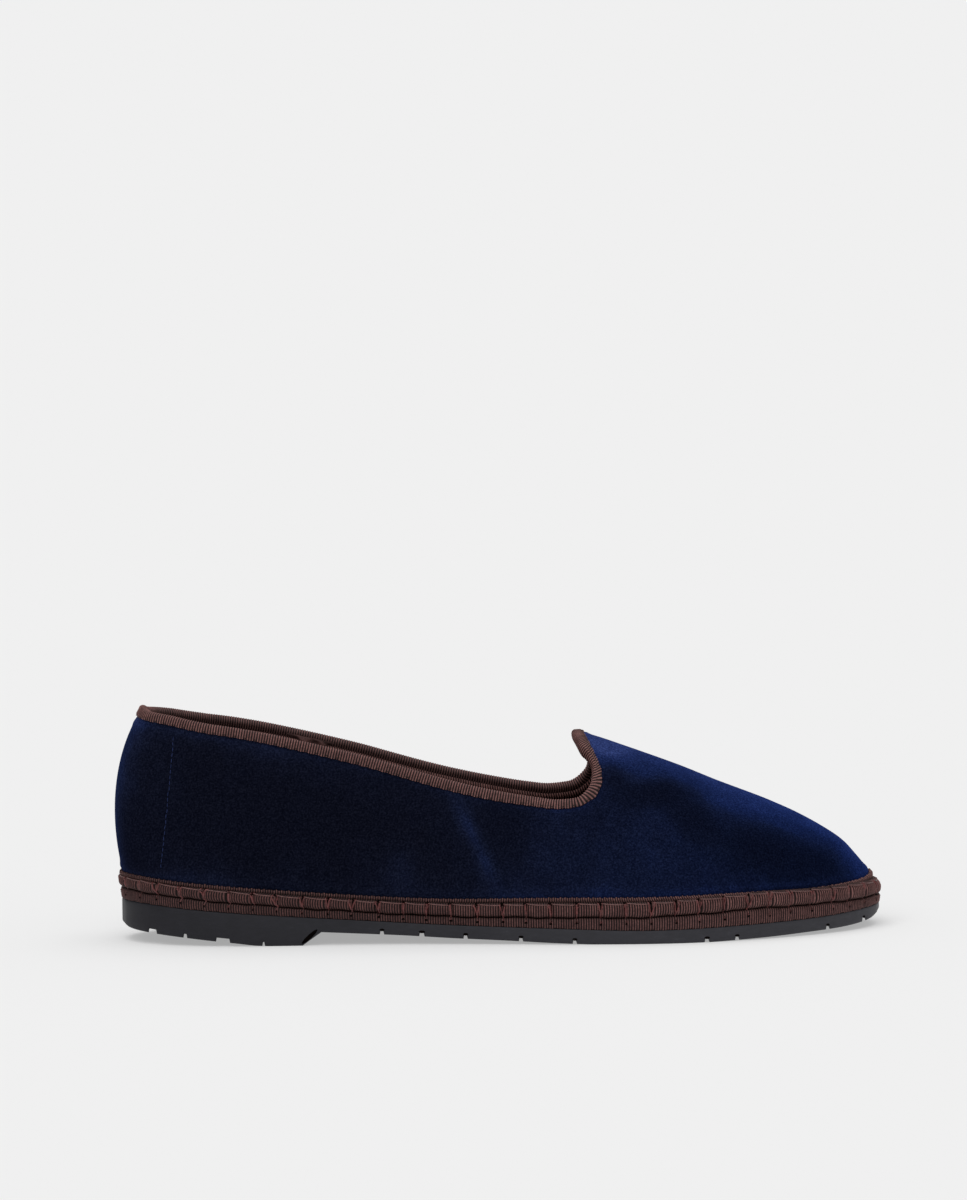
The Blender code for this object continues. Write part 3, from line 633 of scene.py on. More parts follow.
def new_object(name, vertices, faces, material, slot, replaces=(), uv=None, pile_and_painted_light=None):
    """Make a mesh piece of the shoe, moved to the shoe's frame, riding on it."""
    mesh = bpy.data.meshes.new(name)
    mesh.from_pydata([tuple(v) for v in np.asarray(vertices, float) + MOVE], [], [tuple(f) for f in faces])
    mesh.validate()
    if uv is not None:
        layer = mesh.uv_layers.new(name="UVMap")
        indices = np.zeros(len(mesh.loops), dtype=np.int32)
        mesh.loops.foreach_get("vertex_index", indices)
        layer.data.foreach_set("uv", uv[indices].astype(np.float32).ravel())
    if pile_and_painted_light is not None:
        layer = mesh.attributes.new("pile_and_painted_light", "FLOAT", "POINT")
        layer.data.foreach_set("value", np.asarray(pile_and_painted_light, np.float32))
    bm = bmesh.new()
    bm.from_mesh(mesh)
    bmesh.ops.recalc_face_normals(bm, faces=bm.faces[:])
    bm.to_mesh(mesh)
    bm.free()
    mesh.shade_smooth()
    mesh.materials.append(material)
    thing = bpy.data.objects.new(name, mesh)
    bpy.context.scene.collection.objects.link(thing)
    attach(thing, "root")
    if replaces:
        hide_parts(*replaces)


def ring_faces(rows, columns, wrap_rows=True):
    """Return quads of a grid whose columns close into a loop and whose rows may close too."""
    faces = []
    for j in range(rows if wrap_rows else rows - 1):
        row, below = j * columns, (j + 1) % rows * columns
        for k in range(columns):
            right = (k + 1) % columns
            faces.append((row + k, row + right, below + right, below + k))
    return faces


def new_shell(name, rings, material, slot, replaces=(), uv=None, pile_and_painted_light=None):
    """Make a piece from rings of points that close into a tube."""
    faces = ring_faces(len(rings), len(rings[0]))
    new_object(name, np.vstack(rings), faces, material, slot, replaces, uv, pile_and_painted_light)


def new_tape(name, section, phase, painted_shades, material, replaces=()):
    """Make a closed tape from rings of points, with the ribs' phase and a painted shade for each point."""
    uv = np.column_stack((np.tile(phase, len(section)), np.ravel(painted_shades)))
    new_shell(name, section, material, "grosgrain", replaces, uv)


def new_plate(name, rings, material, slot, replaces, uv=None):
    """Make a closed plate from rings of equal length that run heel, lateral side, toe, medial side."""
    count = len(rings[0])
    half = count // 2
    faces = ring_faces(len(rings), count, wrap_rows=False)
    for base in (0, (len(rings) - 1) * count):
        faces.append((base, base + 1, base + count - 1))
        for i in range(1, half - 1):
            faces.append((base + i, base + i + 1, base + count - i - 1, base + count - i))
        faces.append((base + half - 1, base + half, base + half + 1))
    new_object(name, np.vstack(rings), faces, material, slot, replaces, uv)


# Materials


def new_material(name):
    """Return a new material, its node tree and its shader."""
    material = bpy.data.materials.new(name)
    material.use_nodes = True
    return material, material.node_tree, material.node_tree.nodes["Principled BSDF"]


def feed(tree, node, inputs):
    """Set a node's inputs, each to a value or to another node's output."""
    for name, value in inputs.items():
        if isinstance(value, bpy.types.NodeSocket):
            tree.links.new(value, node.inputs[name])
        else:
            node.inputs[name].default_value = value
    return node


def new_node(tree, kind, inputs):
    """Return a new shader node with its inputs set."""
    return feed(tree, tree.nodes.new("ShaderNode" + kind), inputs)


def noise(tree, scale, detail=4.0, roughness=0.6, stretch=(1, 1, 1)):
    """Return a noise in object coordinates."""
    coords = tree.nodes.new("ShaderNodeTexCoord")
    mapping = new_node(tree, "Mapping", {"Vector": coords.outputs["Object"], "Scale": stretch})
    inputs = {"Vector": mapping.outputs["Vector"], "Scale": scale, "Detail": detail, "Roughness": roughness}
    return new_node(tree, "TexNoise", inputs).outputs["Fac"]


def ramp(tree, source, stops):
    """Return a colour that follows a value through stops of position and colour."""
    node = new_node(tree, "ValToRGB", {"Fac": source})
    elements = node.color_ramp.elements
    for element, (position, colour) in zip(elements, (stops[0], stops[-1])):
        element.position, element.color = position, (*colour, 1.0)
    for position, colour in stops[1:-1]:
        elements.new(position).color = (*colour, 1.0)
    return node.outputs["Color"]


def bump(tree, source, strength, distance, before=None):
    """Return a normal bent by a height, on top of another bump where there is one."""
    inputs = {"Strength": strength, "Distance": distance, "Height": source}
    if before is not None:
        inputs["Normal"] = before
    return new_node(tree, "Bump", inputs).outputs["Normal"]


def worked_out(tree, operation, *values):
    """Return the result of a sum on values."""
    node = new_node(tree, "Math", dict(enumerate(values)))
    node.operation = operation
    return node.outputs["Value"]


def scaled(tree, source, factor, added=0.0):
    """Return a value times a factor plus a constant."""
    return worked_out(tree, "MULTIPLY_ADD", source, factor, added)


def times(tree, colour, tint):
    """Return a colour multiplied by another."""
    mix = tree.nodes.new("ShaderNodeMix")
    mix.data_type = "RGBA"
    mix.blend_type = "MULTIPLY"
    feed(tree, mix, {"Factor": 1.0, "A": colour, "B": tint})
    return mix.outputs["Result"]


def split(tree, source):
    """Return the parts of a vector."""
    return new_node(tree, "SeparateXYZ", {"Vector": source}).outputs


def along_shoe(tree):
    """Return the place along the shoe."""
    return split(tree, tree.nodes.new("ShaderNodeTexCoord").outputs["Object"])["X"]


def velvet_material():
    """Return navy velvet: nearly black seen straight on, with a painted sheen that makes it bluer at a
    grazing view, and a mottled pile.
    """
    material, tree, shader = new_material("velvet_look")
    nap_and_painted_light = tree.nodes.new("ShaderNodeAttribute")
    nap_and_painted_light.attribute_name = "pile_and_painted_light"
    grazing_painted_sheen = new_node(tree, "LayerWeight", {"Blend": 0.5}).outputs["Facing"]
    brushed = noise(tree, 140.0, 3.0, 0.6, (1.0, 1.0, 0.35))
    # Painted sheen: the colour's value rises where the surface turns away from the view, and the pile
    # attribute adds painted highlights and shade
    value = worked_out(tree, "ADD", scaled(tree, grazing_painted_sheen, 0.85), nap_and_painted_light.outputs["Fac"])
    value = worked_out(tree, "ADD", value, scaled(tree, noise(tree, 60.0), 0.36, -0.18))
    value = worked_out(tree, "ADD", value, scaled(tree, brushed, 0.24, -0.12))
    front = [(0.0, (1.0, 1.0, 1.0)), (1.0, (0.70, 0.95, 1.35))]
    towards_toe = ramp(tree, scaled(tree, along_shoe(tree), 7.0, 0.2), front)
    dyed = times(tree, ramp(tree, value, VELVET_TONES_AND_PAINTED_SHEEN), towards_toe)
    fibre = noise(tree, 1500.0, 2.0, 0.65)
    specks = [(0.30, (0.40, 0.42, 0.48)), (0.50, (0.92, 0.92, 0.94)), (0.70, (1.95, 1.9, 1.7))]
    soft = bump(tree, noise(tree, 300.0, 3.0), 0.25, 0.0005)
    feed(tree, shader, {
        "Base Color": times(tree, dyed, ramp(tree, fibre, specks)),
        "Roughness": 0.95,
        "Specular IOR Level": 0.0,
        "Sheen Weight": 0.12,
        "Sheen Roughness": 0.35,
        "Sheen Tint": (0.06, 0.10, 0.34, 1.0),
        "Normal": bump(tree, fibre, 0.5, 0.0003, soft),
    })
    return material


def tape_material(name, dark, light, heel_darkening):
    """Return grosgrain: the ribs are in the mesh; the weave, a painted shade in the gaps between the ribs, a
    painted highlight on their crests and the painted shade carried in the UV's second value are here.
    """
    material, tree, shader = new_material(name)
    place_on = split(tree, tree.nodes.new("ShaderNodeUVMap").outputs["UV"])
    wave = worked_out(tree, "COSINE", scaled(tree, place_on["X"], 2 * math.pi))
    rib_painted_shade_and_highlight = [(0.0, (0.04, 0.03, 0.03)), (0.38, (0.38, 0.35, 0.35)), (1.0, (2.20, 2.12, 2.08))]
    painted_shades = [(0.0, (0.10, 0.08, 0.08)), (0.5, (1.0, 1.0, 1.0)), (1.0, (1.9, 1.85, 1.8))]
    threads = [(0.30, (0.62, 0.62, 0.62)), (0.70, (1.40, 1.36, 1.34))]
    # Darker towards the heel
    towards_toe = [(0.0, heel_darkening), (0.38, heel_darkening), (0.85, (1.12, 1.12, 1.12))]
    weave = noise(tree, 1900.0, 2.0)
    colour = ramp(tree, noise(tree, 220.0, 4.0, 0.65), [(0.32, dark), (0.70, light)])
    # Painted shade in the rib gaps and painted highlight on the rib crests
    colour = times(tree, colour, ramp(tree, scaled(tree, wave, 0.5, 0.5), rib_painted_shade_and_highlight))
    # Painted shade and light of each point, from the UV's second value
    colour = times(tree, colour, ramp(tree, place_on["Y"], painted_shades))
    colour = times(tree, colour, ramp(tree, weave, threads))
    feed(tree, shader, {
        "Base Color": times(tree, colour, ramp(tree, scaled(tree, along_shoe(tree), 3.5, 0.5), towards_toe)),
        "Roughness": 0.62,
        "Specular IOR Level": 0.16,
        "Sheen Weight": 0.06,
        "Sheen Roughness": 0.4,
        "Sheen Tint": (0.60, 0.30, 0.28, 1.0),
        "Normal": bump(tree, weave, 0.35, 0.00025),
    })
    return material


def plain_material(name, dark, light, scale, roughness, specular, depth, grain_scale):
    """Return a mottled surface with a fine bump."""
    material, tree, shader = new_material(name)
    mottle = noise(tree, scale, 5.0)
    spread = {"Value": mottle, "To Min": roughness - 0.08, "To Max": roughness + 0.08}
    feed(tree, shader, {
        "Base Color": ramp(tree, mottle, [(0.32, dark), (0.70, light)]),
        "Roughness": new_node(tree, "MapRange", spread).outputs["Result"],
        "Specular IOR Level": specular,
        "Normal": bump(tree, noise(tree, grain_scale, 3.0), 0.4, depth),
    })
    return material


def rubber_material():
    """Return dark rubber, a little lighter and duller towards the toe, with faint scuffs."""
    material, tree, shader = new_material("rubber_look")
    mottle = noise(tree, 50.0, 5.0)
    towards_toe = scaled(tree, along_shoe(tree), 3.6, 0.5)
    value = worked_out(tree, "ADD", towards_toe, scaled(tree, mottle, 0.5, -0.25))
    colour = ramp(tree, value, [(0.0, (0.0070, 0.0068, 0.0112)), (1.0, (0.0430, 0.0425, 0.0510))])
    scuffs = [(0.35, (0.82, 0.82, 0.82)), (0.62, (1.0, 1.0, 1.0)), (0.78, (1.5, 1.5, 1.5))]
    worn = ramp(tree, noise(tree, 700.0, 4.0, 0.7, (0.35, 0.35, 1.0)), scuffs)
    feed(tree, shader, {
        "Base Color": times(tree, colour, worn),
        "Roughness": scaled(tree, mottle, 0.3, 0.42),
        "Specular IOR Level": 0.30,
        "Normal": bump(tree, noise(tree, 1500.0, 3.0), 0.35, 0.00012),
    })
    return material


VELVET_LOOK = velvet_material()
FOXING_LOOK = tape_material(
    "foxing_tape_look", (0.052, 0.0250, 0.0245), (0.092, 0.0470, 0.0450), (0.64, 0.60, 0.60))
COLLAR_LOOK = tape_material(
    "collar_tape_look", (0.072, 0.0365, 0.035), (0.120, 0.062, 0.058), (0.92, 0.90, 0.90))
RUBBER_LOOK = rubber_material()

# Plain looks: name, two colours, scale of the mottle, roughness, specular, depth and scale of the grain
THREAD_LOOK, RUN_LOOK, SEAM_LOOK, LINING_LOOK, SOCK_LOOK, PAINTED_SHADE_LOOK = [plain_material(*row) for row in (
    ("thread_look", (0.058, 0.012, 0.012), (0.180, 0.046, 0.043), 900.0, 0.34, 0.5, 0.0002, 3500.0),
    ("run_look", (0.072, 0.029, 0.027), (0.195, 0.092, 0.084), 900.0, 0.36, 0.4, 0.0002, 3500.0),
    ("seam_look", (0.011, 0.018, 0.062), (0.022, 0.034, 0.105), 500.0, 0.6, 0.1, 0.0001, 1500.0),
    ("lining_look", (0.010, 0.0065, 0.006), (0.018, 0.012, 0.011), 120.0, 0.80, 0.15, 0.0002, 1300.0),
    ("sock_look", (0.026, 0.015, 0.013), (0.048, 0.029, 0.025), 90.0, 0.72, 0.25, 0.0002, 900.0),
    # Painted shade of the stitch holes and the sole's recesses
    ("painted_shade_look", (0.0030, 0.0018, 0.0018), (0.006, 0.004, 0.004), 300.0, 0.9, 0.0, 0.0001, 900.0),
)]


# Upper


def hill(distance, width, power=2):
    """Return a smooth hill of height 1 that falls off over a width."""
    return np.exp(-((distance / width) ** power))


def soft_patches(points, table):
    """Return the sum of soft oval patches at points, weaker on the medial side."""
    total = np.zeros(points.shape[:-1])
    x, z = points[..., 0] / MM, points[..., 2] / MM
    medial = np.clip(0.5 + (points[..., 1] - crest_y(points[..., 0])) / (36.0 * MM), 0.0, 1.0)
    for cx, cz, long, wide, lean, change in table:
        angle = math.radians(lean)
        along = (x - cx) * math.sin(angle) + (z - cz) * math.cos(angle)
        across = (x - cx) * math.cos(angle) - (z - cz) * math.sin(angle)
        total += change * hill(along, long) * hill(across, wide)
    return total * (1.0 - 0.4 * medial * medial * (3.0 - 2.0 * medial))


def soft_fade(distance, start, full):
    """Return 0 up to a start distance and 1 from a full distance, smoothly between."""
    t = np.clip((distance - start) / (full - start), 0.0, 1.0)
    return t * t * (3 - 2 * t)


def seam_line(z):
    """Return where the heel panel's seam lies along the shoe at a height."""
    return SEAM_FOOT + SEAM_LEAN * np.clip((z / MM - SEAM_LOW) / (SEAM_HIGH - SEAM_LOW), 0, 1)


def build_velvet():
    """Make the velvet shell with its soft bends, its lie of the pile with painted highlights and shade, and
    the heel panel's pressed seam.
    """
    shares = even_shares(VELVET_COLUMNS)
    from_collar = [0.0, 0.8 * MM, 1.8 * MM, TAPE_OUTSIDE, TAPE_OUTSIDE + 0.7 * MM, TAPE_OUTSIDE + 1.6 * MM]
    lip = foxing_height(shares)
    from_sole = [lip + d * MM for d in (4.6, 3.4, 2.5, 1.7, 1.0, 0.4, -0.6)] + [lip * 0.5, lip * 0.0]
    points, normals, way = lane(shares, from_collar, from_sole, 62)
    below_tape = way - TAPE_OUTSIDE
    above_lip = way[-1] - way - lip
    free = soft_fade(below_tape, 1.0 * MM, 8.0 * MM) * soft_fade(above_lip, 0.4 * MM, 6.0 * MM)
    lift = soft_patches(points, FOLDS) * MM * free
    for distance, (middle, width, height) in ((below_tape, TAPE_SWELL), (above_lip, LIP_SWELL)):
        lift = lift + hill(distance - middle, width) * height
    lift = lift - hill(points[..., 0] - seam_line(points[..., 2]), SEAM_WIDTH) * SEAM_PRESS * free
    outer = points + normals * lift[..., None]
    inner = points[INNER_ROWS] - normals[INNER_ROWS] * VELVET
    rings = list(outer) + list(inner[::-1])
    # Painted highlights and shade of the pile: patches on folds and the vamp's top, and lighter bands on the
    # swells below the tape and above the lip
    nap_and_painted_light = soft_patches(points, PILE_LIE_AND_PAINTED_LIGHT) + 0.20 * hill(np.maximum(below_tape, 0), 3.6 * MM)
    nap_and_painted_light = nap_and_painted_light + 0.12 * hill(np.maximum(above_lip, 0), 3.0 * MM)
    pile_and_painted_light = np.concatenate((nap_and_painted_light.ravel(), np.zeros(len(INNER_ROWS) * len(shares))))
    new_shell("velvet_upper", rings, VELVET_LOOK, "velvet", ("upper",), pile_and_painted_light=pile_and_painted_light)


def build_lining():
    """Make the lining inside the velvet."""
    shares = even_shares(LINING_COLUMNS)
    lip = foxing_height(shares)
    points, normals, _ = lane(shares, [0.0, 3.0 * MM, TAPE_INSIDE], [lip, lip * 0.5, lip * 0.0], 24)
    front = points - normals * UPPER_WALL
    front[-1, :, 2] = np.maximum(front[-1, :, 2], deck(front[-1, :, 0]) + GAP / 2)
    back = points - normals * (VELVET + 0.1 * MM)
    rings = list(front) + list(back[[0, 6, 12, 18, 24, len(points) - 1]][::-1])
    new_shell("lining", rings, LINING_LOOK, "sock", ("upper",))


def build_seam():
    """Make the heel panel's row of small stitches on both sides."""
    shares = even_shares(FINE_COLUMNS)
    from_sole = [foxing_height(shares) + 0.8 * MM, 0.0]
    points, normals, _ = lane(shares, [0.0, TAPE_OUTSIDE + 0.5 * MM], from_sole, 46)
    paths = []
    for side in (-1, 1):
        columns = np.where((np.sign(shares) == side) & (points[20, :, 0] < 60 * MM))[0]
        line = []
        for j in range(1, len(points) - 1):
            row = points[j, columns]
            best = columns[int(np.argmin(np.abs(row[:, 0] - seam_line(row[:, 2]))))]
            line.append(points[j, best] - normals[j, best] * (0.10 * MM))
        line = np.array(line)
        way_down = np.concatenate(([0.0], np.cumsum(np.linalg.norm(np.diff(line, axis=0), axis=1))))
        for i in range(int(way_down[-1] / SEAM_STITCH)):
            samples = np.linspace(i * SEAM_STITCH + SEAM_GAP, (i + 1) * SEAM_STITCH - SEAM_GAP, 4)
            paths.append(np.column_stack([np.interp(samples, way_down, line[:, c]) for c in range(3)]))
    vertices, faces = sweep(paths, SEAM_THREAD, sides=5)
    new_object("heel_seam", vertices, faces, SEAM_LOOK, "velvet")


# Tapes at the collar


def ribs_round(length):
    """Return the phase of the ribs at points round a length, and their height."""
    phase = np.arange(int(round(length / RIB)) * RIB_POINTS) / RIB_POINTS
    return phase, np.cos(2 * math.pi * phase) * RIB_DEPTH


def eased(ring, reach):
    """Return a ring of points, each moved to the mean of its neighbours within reach."""
    total = sum(np.roll(ring, shift, 0) for shift in range(-reach, reach + 1))
    return total / (2 * reach + 1)


def at_columns(ring, columns):
    """Return a closed ring of points read at columns that may lie between its own."""
    count = len(ring)
    own = np.arange(3 * count)
    axes = np.vstack((ring, ring, ring)).T
    return np.column_stack([np.interp(columns + count, own, axis) for axis in axes])


def build_collar_tape():
    """Make the ribbed tape folded over the collar, its ribs square to its edge, with painted shade and light
    along its rows.
    """
    phase, rib = ribs_round(ROUND_COLLAR)
    count = len(phase)
    shares = collar_shares(count)
    rows = [0.0, TAPE_OUTSIDE / 3, TAPE_OUTSIDE * 2 / 3, TAPE_OUTSIDE, TAPE_INSIDE * 0.8, TAPE_INSIDE]
    points, normals, _ = lane(shares, rows, [2.0 * MM, 0.0], 4)
    scallop = np.cos(2 * math.pi * phase / 4.0)
    tangent = unit(np.roll(points[0], -3, 0) - np.roll(points[0], 3, 0))
    up = unit(np.cross(normals[0], tangent))
    far = GAP + TAPE
    wave = rib[:, None]
    passed = np.abs(shares) * ROUND_COLLAR / 2
    narrow = (1.0 - 0.34 * hill(passed, 46.0 * MM, 4))[:, None]
    raised = 0.75 * hill(passed, 44.0 * MM, 4) + 0.9 * hill(passed, 4.5 * MM)
    top = points[0] + up * (raised * MM)[:, None]
    for row in (1, 2, 3):
        points[row] = eased(points[0] + (points[row] - points[0]) * narrow, 14)
        normals[row] = eased(normals[row], 14)
    for row in (1, 2, 3, 4, 5):
        columns = np.arange(count) - ((points[row] - points[0]) * tangent).sum(1) / (RIB / RIB_POINTS)
        points[row] = at_columns(points[row], columns)
        normals[row] = at_columns(normals[row], columns)
    n = normals
    inside = UPPER_WALL + far
    edge = points[3] + (points[3] - points[2]) * (0.24 * MM / (TAPE_OUTSIDE / 3)) * (scallop / 2)[:, None]
    section = [
        edge + n[3] * (GAP * 0.4),
        edge + n[3] * (far * 0.85 + wave * 0.5),
        points[2] * 0.25 + points[3] * 0.75 + n[3] * (far * 0.86),
        points[2] + n[2] * (far + wave),
        points[1] + n[1] * (far + 0.05 * MM + wave),
        top + n[0] * (far + wave),
        top + n[0] * (0.62 * far + wave * 0.7) + up * (0.60 * far + wave * 0.7),
        top + n[0] * (0.05 * far) + up * (0.92 * far + wave),
        top - n[0] * (0.5 * UPPER_WALL) + up * (far + wave),
        top - n[0] * (UPPER_WALL + 0.05 * far) + up * (0.92 * far + wave),
        top - n[0] * (UPPER_WALL + 0.62 * far + wave * 0.7) + up * (0.60 * far + wave * 0.7),
        top - n[0] * (inside + wave),
        points[1] * 0.3 + points[2] * 0.7 - n[2] * (inside + wave),
        points[2] * 0.45 + points[3] * 0.55 - n[3] * (inside + wave),
        points[2] * 0.25 + points[3] * 0.75 - n[3] * (UPPER_WALL + far * 0.45),
        points[3] * 0.95 + points[4] * 0.05 - n[3] * (UPPER_WALL + far * 0.95 + wave),
        points[3] * 0.3 + points[4] * 0.7 - n[4] * (UPPER_WALL + far * 0.95 + wave),
        points[5] - n[5] * (UPPER_WALL + far * 0.7 + wave * 0.5),
        points[5] - n[5] * (UPPER_WALL + GAP * 0.5),
        points[2] - n[2] * (UPPER_WALL + GAP * 0.5),
        points[0] - n[0] * (0.5 * UPPER_WALL) + up * (GAP * 0.5),
        points[2] + n[2] * (GAP * 0.4),
    ]
    # Painted shade and light of each row: darker inside the collar and in the line between the two inner
    # bands, lighter on the second inner band
    painted_shades = [0.35, 0.64, 0.42, 0.46, 0.50, 0.54, 0.56, 0.54, 0.50, 0.36, 0.30, 0.25]
    painted_shades += [0.24, 0.22, 0.02, 0.95, 1.0, 0.6, 0.2, 0.2, 0.2, 0.2]
    v = np.repeat(painted_shades, count).reshape(len(section), count)
    # Painted highlight on the scallops' crests and painted shade in their troughs
    v[1] += np.maximum(scallop, 0) * 0.14
    v[2] -= np.maximum(-scallop, 0) * 0.46
    # Painted shade towards the tongue
    v -= 0.30 * np.clip((np.abs(shares) - 0.88) / 0.10, 0, 1)
    new_tape("collar_tape", section, phase, v, COLLAR_LOOK, ("collar_binding",))


def build_inner_band():
    """Make the second tape, sewn inside below the collar tape, with painted shade at its edges."""
    phase, rib = ribs_round(ROUND_COLLAR)
    deep = [0.0, TAPE_INSIDE - 2.8 * MM, TAPE_INSIDE - 1.0 * MM, TAPE_INSIDE + 1.2 * MM]
    points, normals, _ = lane(collar_shares(len(phase)), deep, [2.0 * MM, 0.0], 2)
    wave = (rib * 0.7)[:, None]
    section = [
        points[1] - normals[1] * (UPPER_WALL + 0.6 * MM),
        points[1] - normals[1] * (UPPER_WALL + 1.45 * MM + wave),
        points[2] - normals[2] * (UPPER_WALL + 1.60 * MM + wave),
        points[3] - normals[3] * (UPPER_WALL + 0.90 * MM + wave),
        points[3] - normals[3] * (UPPER_WALL + 0.1 * MM),
    ]
    # Painted shade at both edges of the band, lighter in its middle
    new_tape("inner_tape", section, phase, np.repeat([0.05, 0.62, 0.72, 0.62, 0.1], len(phase)), COLLAR_LOOK)


def build_tape_join():
    """Make the rough fold where the two ends of the collar tape meet, inside the medial side, with painted
    shade and light on its lumps.
    """
    shares = collar_shares(FINE_COLUMNS)
    wide, high = JOIN_COLUMNS, JOIN_ROWS
    depths = np.linspace(0.0, TAPE_INSIDE + 2.2 * MM, high)
    points, normals, _ = lane(shares, list(depths), [2.0 * MM, 0.0], 1)
    x = points[0, :, 0]
    medial = np.where((shares > 0) & (x > JOIN_START) & (x < JOIN_END))[0]
    medial = medial[np.argsort(x[medial])]
    columns = medial[np.linspace(0, len(medial) - 1, wide).astype(int)]
    front, back, join_painted_shade = [], [], []
    for j in range(high):
        down = j / (high - 1)
        for i, k in enumerate(columns):
            s = i / (wide - 1)
            centre = 0.25 + 0.45 * down
            heap = hill(s - centre, 0.16) + 0.7 * hill(s - centre - 0.33, 0.10)
            crumple = 0.22 * math.sin(17 * s + 9 * down) + 0.18 * math.sin(31 * s - 14 * down + 1.0)
            rim = math.sin(math.pi * s) ** 0.5 * math.sin(math.pi * min(0.08 + 0.9 * down, 1.0)) ** 0.4
            # Painted light on the lumps and crumples, painted shade around them and on the back
            join_painted_shade.append(0.04 + 0.56 * min(heap, 1.0) * rim + 0.45 * crumple * rim)
            ground = points[j, k] - normals[j, k] * (UPPER_WALL + GAP + TAPE * 0.9)
            front.append(ground - normals[j, k] * ((0.30 + 1.45 * heap + crumple * 1.3) * rim * MM))
            back.append(ground + normals[j, k] * (0.3 * MM))
    faces = []
    shift = wide * high
    for j in range(high - 1):
        for i in range(wide - 1):
            a = j * wide + i
            faces.append((a, a + 1, a + wide + 1, a + wide))
            faces.append((a + shift, a + wide + shift, a + wide + 1 + shift, a + 1 + shift))
    border = list(range(wide)) + [j * wide + wide - 1 for j in range(1, high)]
    border += [(high - 1) * wide + i for i in range(wide - 2, -1, -1)]
    border += [j * wide for j in range(high - 2, 0, -1)]
    for a, b in zip(border, border[1:] + border[:1]):
        faces.append((a, b, b + shift, a + shift))
    uv = np.column_stack((np.full(2 * shift, 0.18), join_painted_shade + [0.1] * shift))
    new_object("tape_join", front + back, faces, COLLAR_LOOK, "grosgrain", uv=uv)


# Foxing and midsole


def crease_wave(phase):
    """Return how far the crease under the roll wanders up and down at numbers of stitches round the sole."""
    return (0.16 * np.sin(phase * 1.9) + 0.12 * np.sin(phase * 4.3 + 1.0) + 0.05 * np.sin(phase * 9.1)) * MM


def sole_edge(shares):
    """Return the sole outline, its outward directions and the stitches passed, at shares round it."""
    stitches = np.where(shares < 0, -shares, 2.0 - shares) * STITCHES / 2.0
    return by_share(SOLE, shares), unit(by_share(SOLE_NORMALS, shares)), stitches


def foxing_grid(count):
    """Return the foxing's shares, stitch numbers, outward directions and the rows of its roll."""
    shares = even_shares(count)
    stand = foxing_height(shares)
    base, direction, phase = sole_edge(shares)
    offset = np.abs(phase - np.round(phase)) * STITCH_PITCH
    pinch = hill(offset, PINCH_WIDTH)
    puff = 1.0 - hill(offset, PUFF_EDGE)
    sway = 0.25 * np.sin(phase * 2.7 + 0.5) + 0.2 * np.sin(phase * 0.9)
    back_of = curve(ROLL_LOOK)
    toe = np.clip((np.abs(shares) - 0.86) / 0.14, 0, 1) ** 2
    rows = []
    for height, _ in ROLL_ROWS:
        shape = math.sin(math.pi * height / LIP_FOOT) ** 0.5 if 0 < height < LIP_FOOT else 0.0
        out = FOXING_BULGE + PUFF * shape * puff * (1 + sway) * (1 - toe)
        out = out - PINCH * pinch * (0.30 + 0.70 * shape)
        out = out - 1.5 * MM * toe * max(0.0, height - 0.45) / 0.35
        plan = base - direction * (SEAT_BACK * float(back_of(height)) - out)[:, None]
        wander = crease_wave(phase) * (1 - height / LIP_FOOT)
        level = deck(plan[:, 0]) + GAP / 2 + stand * height * (1 - 0.10 * toe) + wander
        rows.append(np.column_stack((plan, level)))
    return shares, phase, np.column_stack((direction, np.zeros(count))), np.array(rows)


def build_foxing():
    """Make the rolled, ribbed foxing, pinched at each stitch, with its ragged lip and painted shade in its
    crease, under its lip and in its pinches.
    """
    phase, rib = ribs_round(ROUND_SOLE)
    count = len(phase)
    shares, stitches, direction, rows = foxing_grid(count)
    stand = foxing_height(shares)
    from_sole = [stand * s for s in (1.0, 0.9, LIP_FOOT, 0.4, 0.0)]
    points, normals, _ = lane(shares, [0.0, 5.0 * MM], from_sole, 6)
    (lip, middle, foot, half, base), (up, across, out, off, below) = points[-5:], normals[-5:]
    section = []
    for (height, _), row in zip(ROLL_ROWS, rows):
        section.append(row + direction * (rib * (0.3 if height in (0.0, LIP_FOOT) else 1.0))[:, None])
    ripple = np.cos(2 * math.pi * phase / 2.4) * 0.5 + 0.5
    fray = 0.06 * MM * np.sin(phase * 3.7) + 0.05 * MM * np.sin(phase * 1.3 + 2.0)
    thick = GAP + LIP_THICKNESS
    top = lip + np.array([0, 0, 1]) * (0.28 * MM * ripple - 0.12 * MM + fray)[:, None]
    inner_base = base + below * GAP
    inner_base[:, 2] = deck(inner_base[:, 0]) + GAP / 2
    section += [
        foot + out * (thick * 0.80 + rib[:, None]),
        middle + across * (thick + 0.12 * MM + rib[:, None]),
        top + up * (thick * 0.92),
        top + up * (thick * 0.45) + np.array([0, 0, 0.12 * MM]),
        top + up * (GAP * 0.3),
        foot + out * GAP,
        half + off * GAP,
        inner_base,
    ]
    # Painted shade in the pinch at each stitch
    stitch_pinch_shade = hill(np.abs(stitches - np.round(stitches)) * STITCH_PITCH, 0.55 * MM)
    painted_shades = [shade - 0.34 * stitch_pinch_shade * shade for _, shade in ROLL_ROWS] + [np.repeat(LIP_PAINTED_SHADES, count)]
    new_tape("foxing_roll", section, phase, np.concatenate(painted_shades), FOXING_LOOK, ("foxing",))


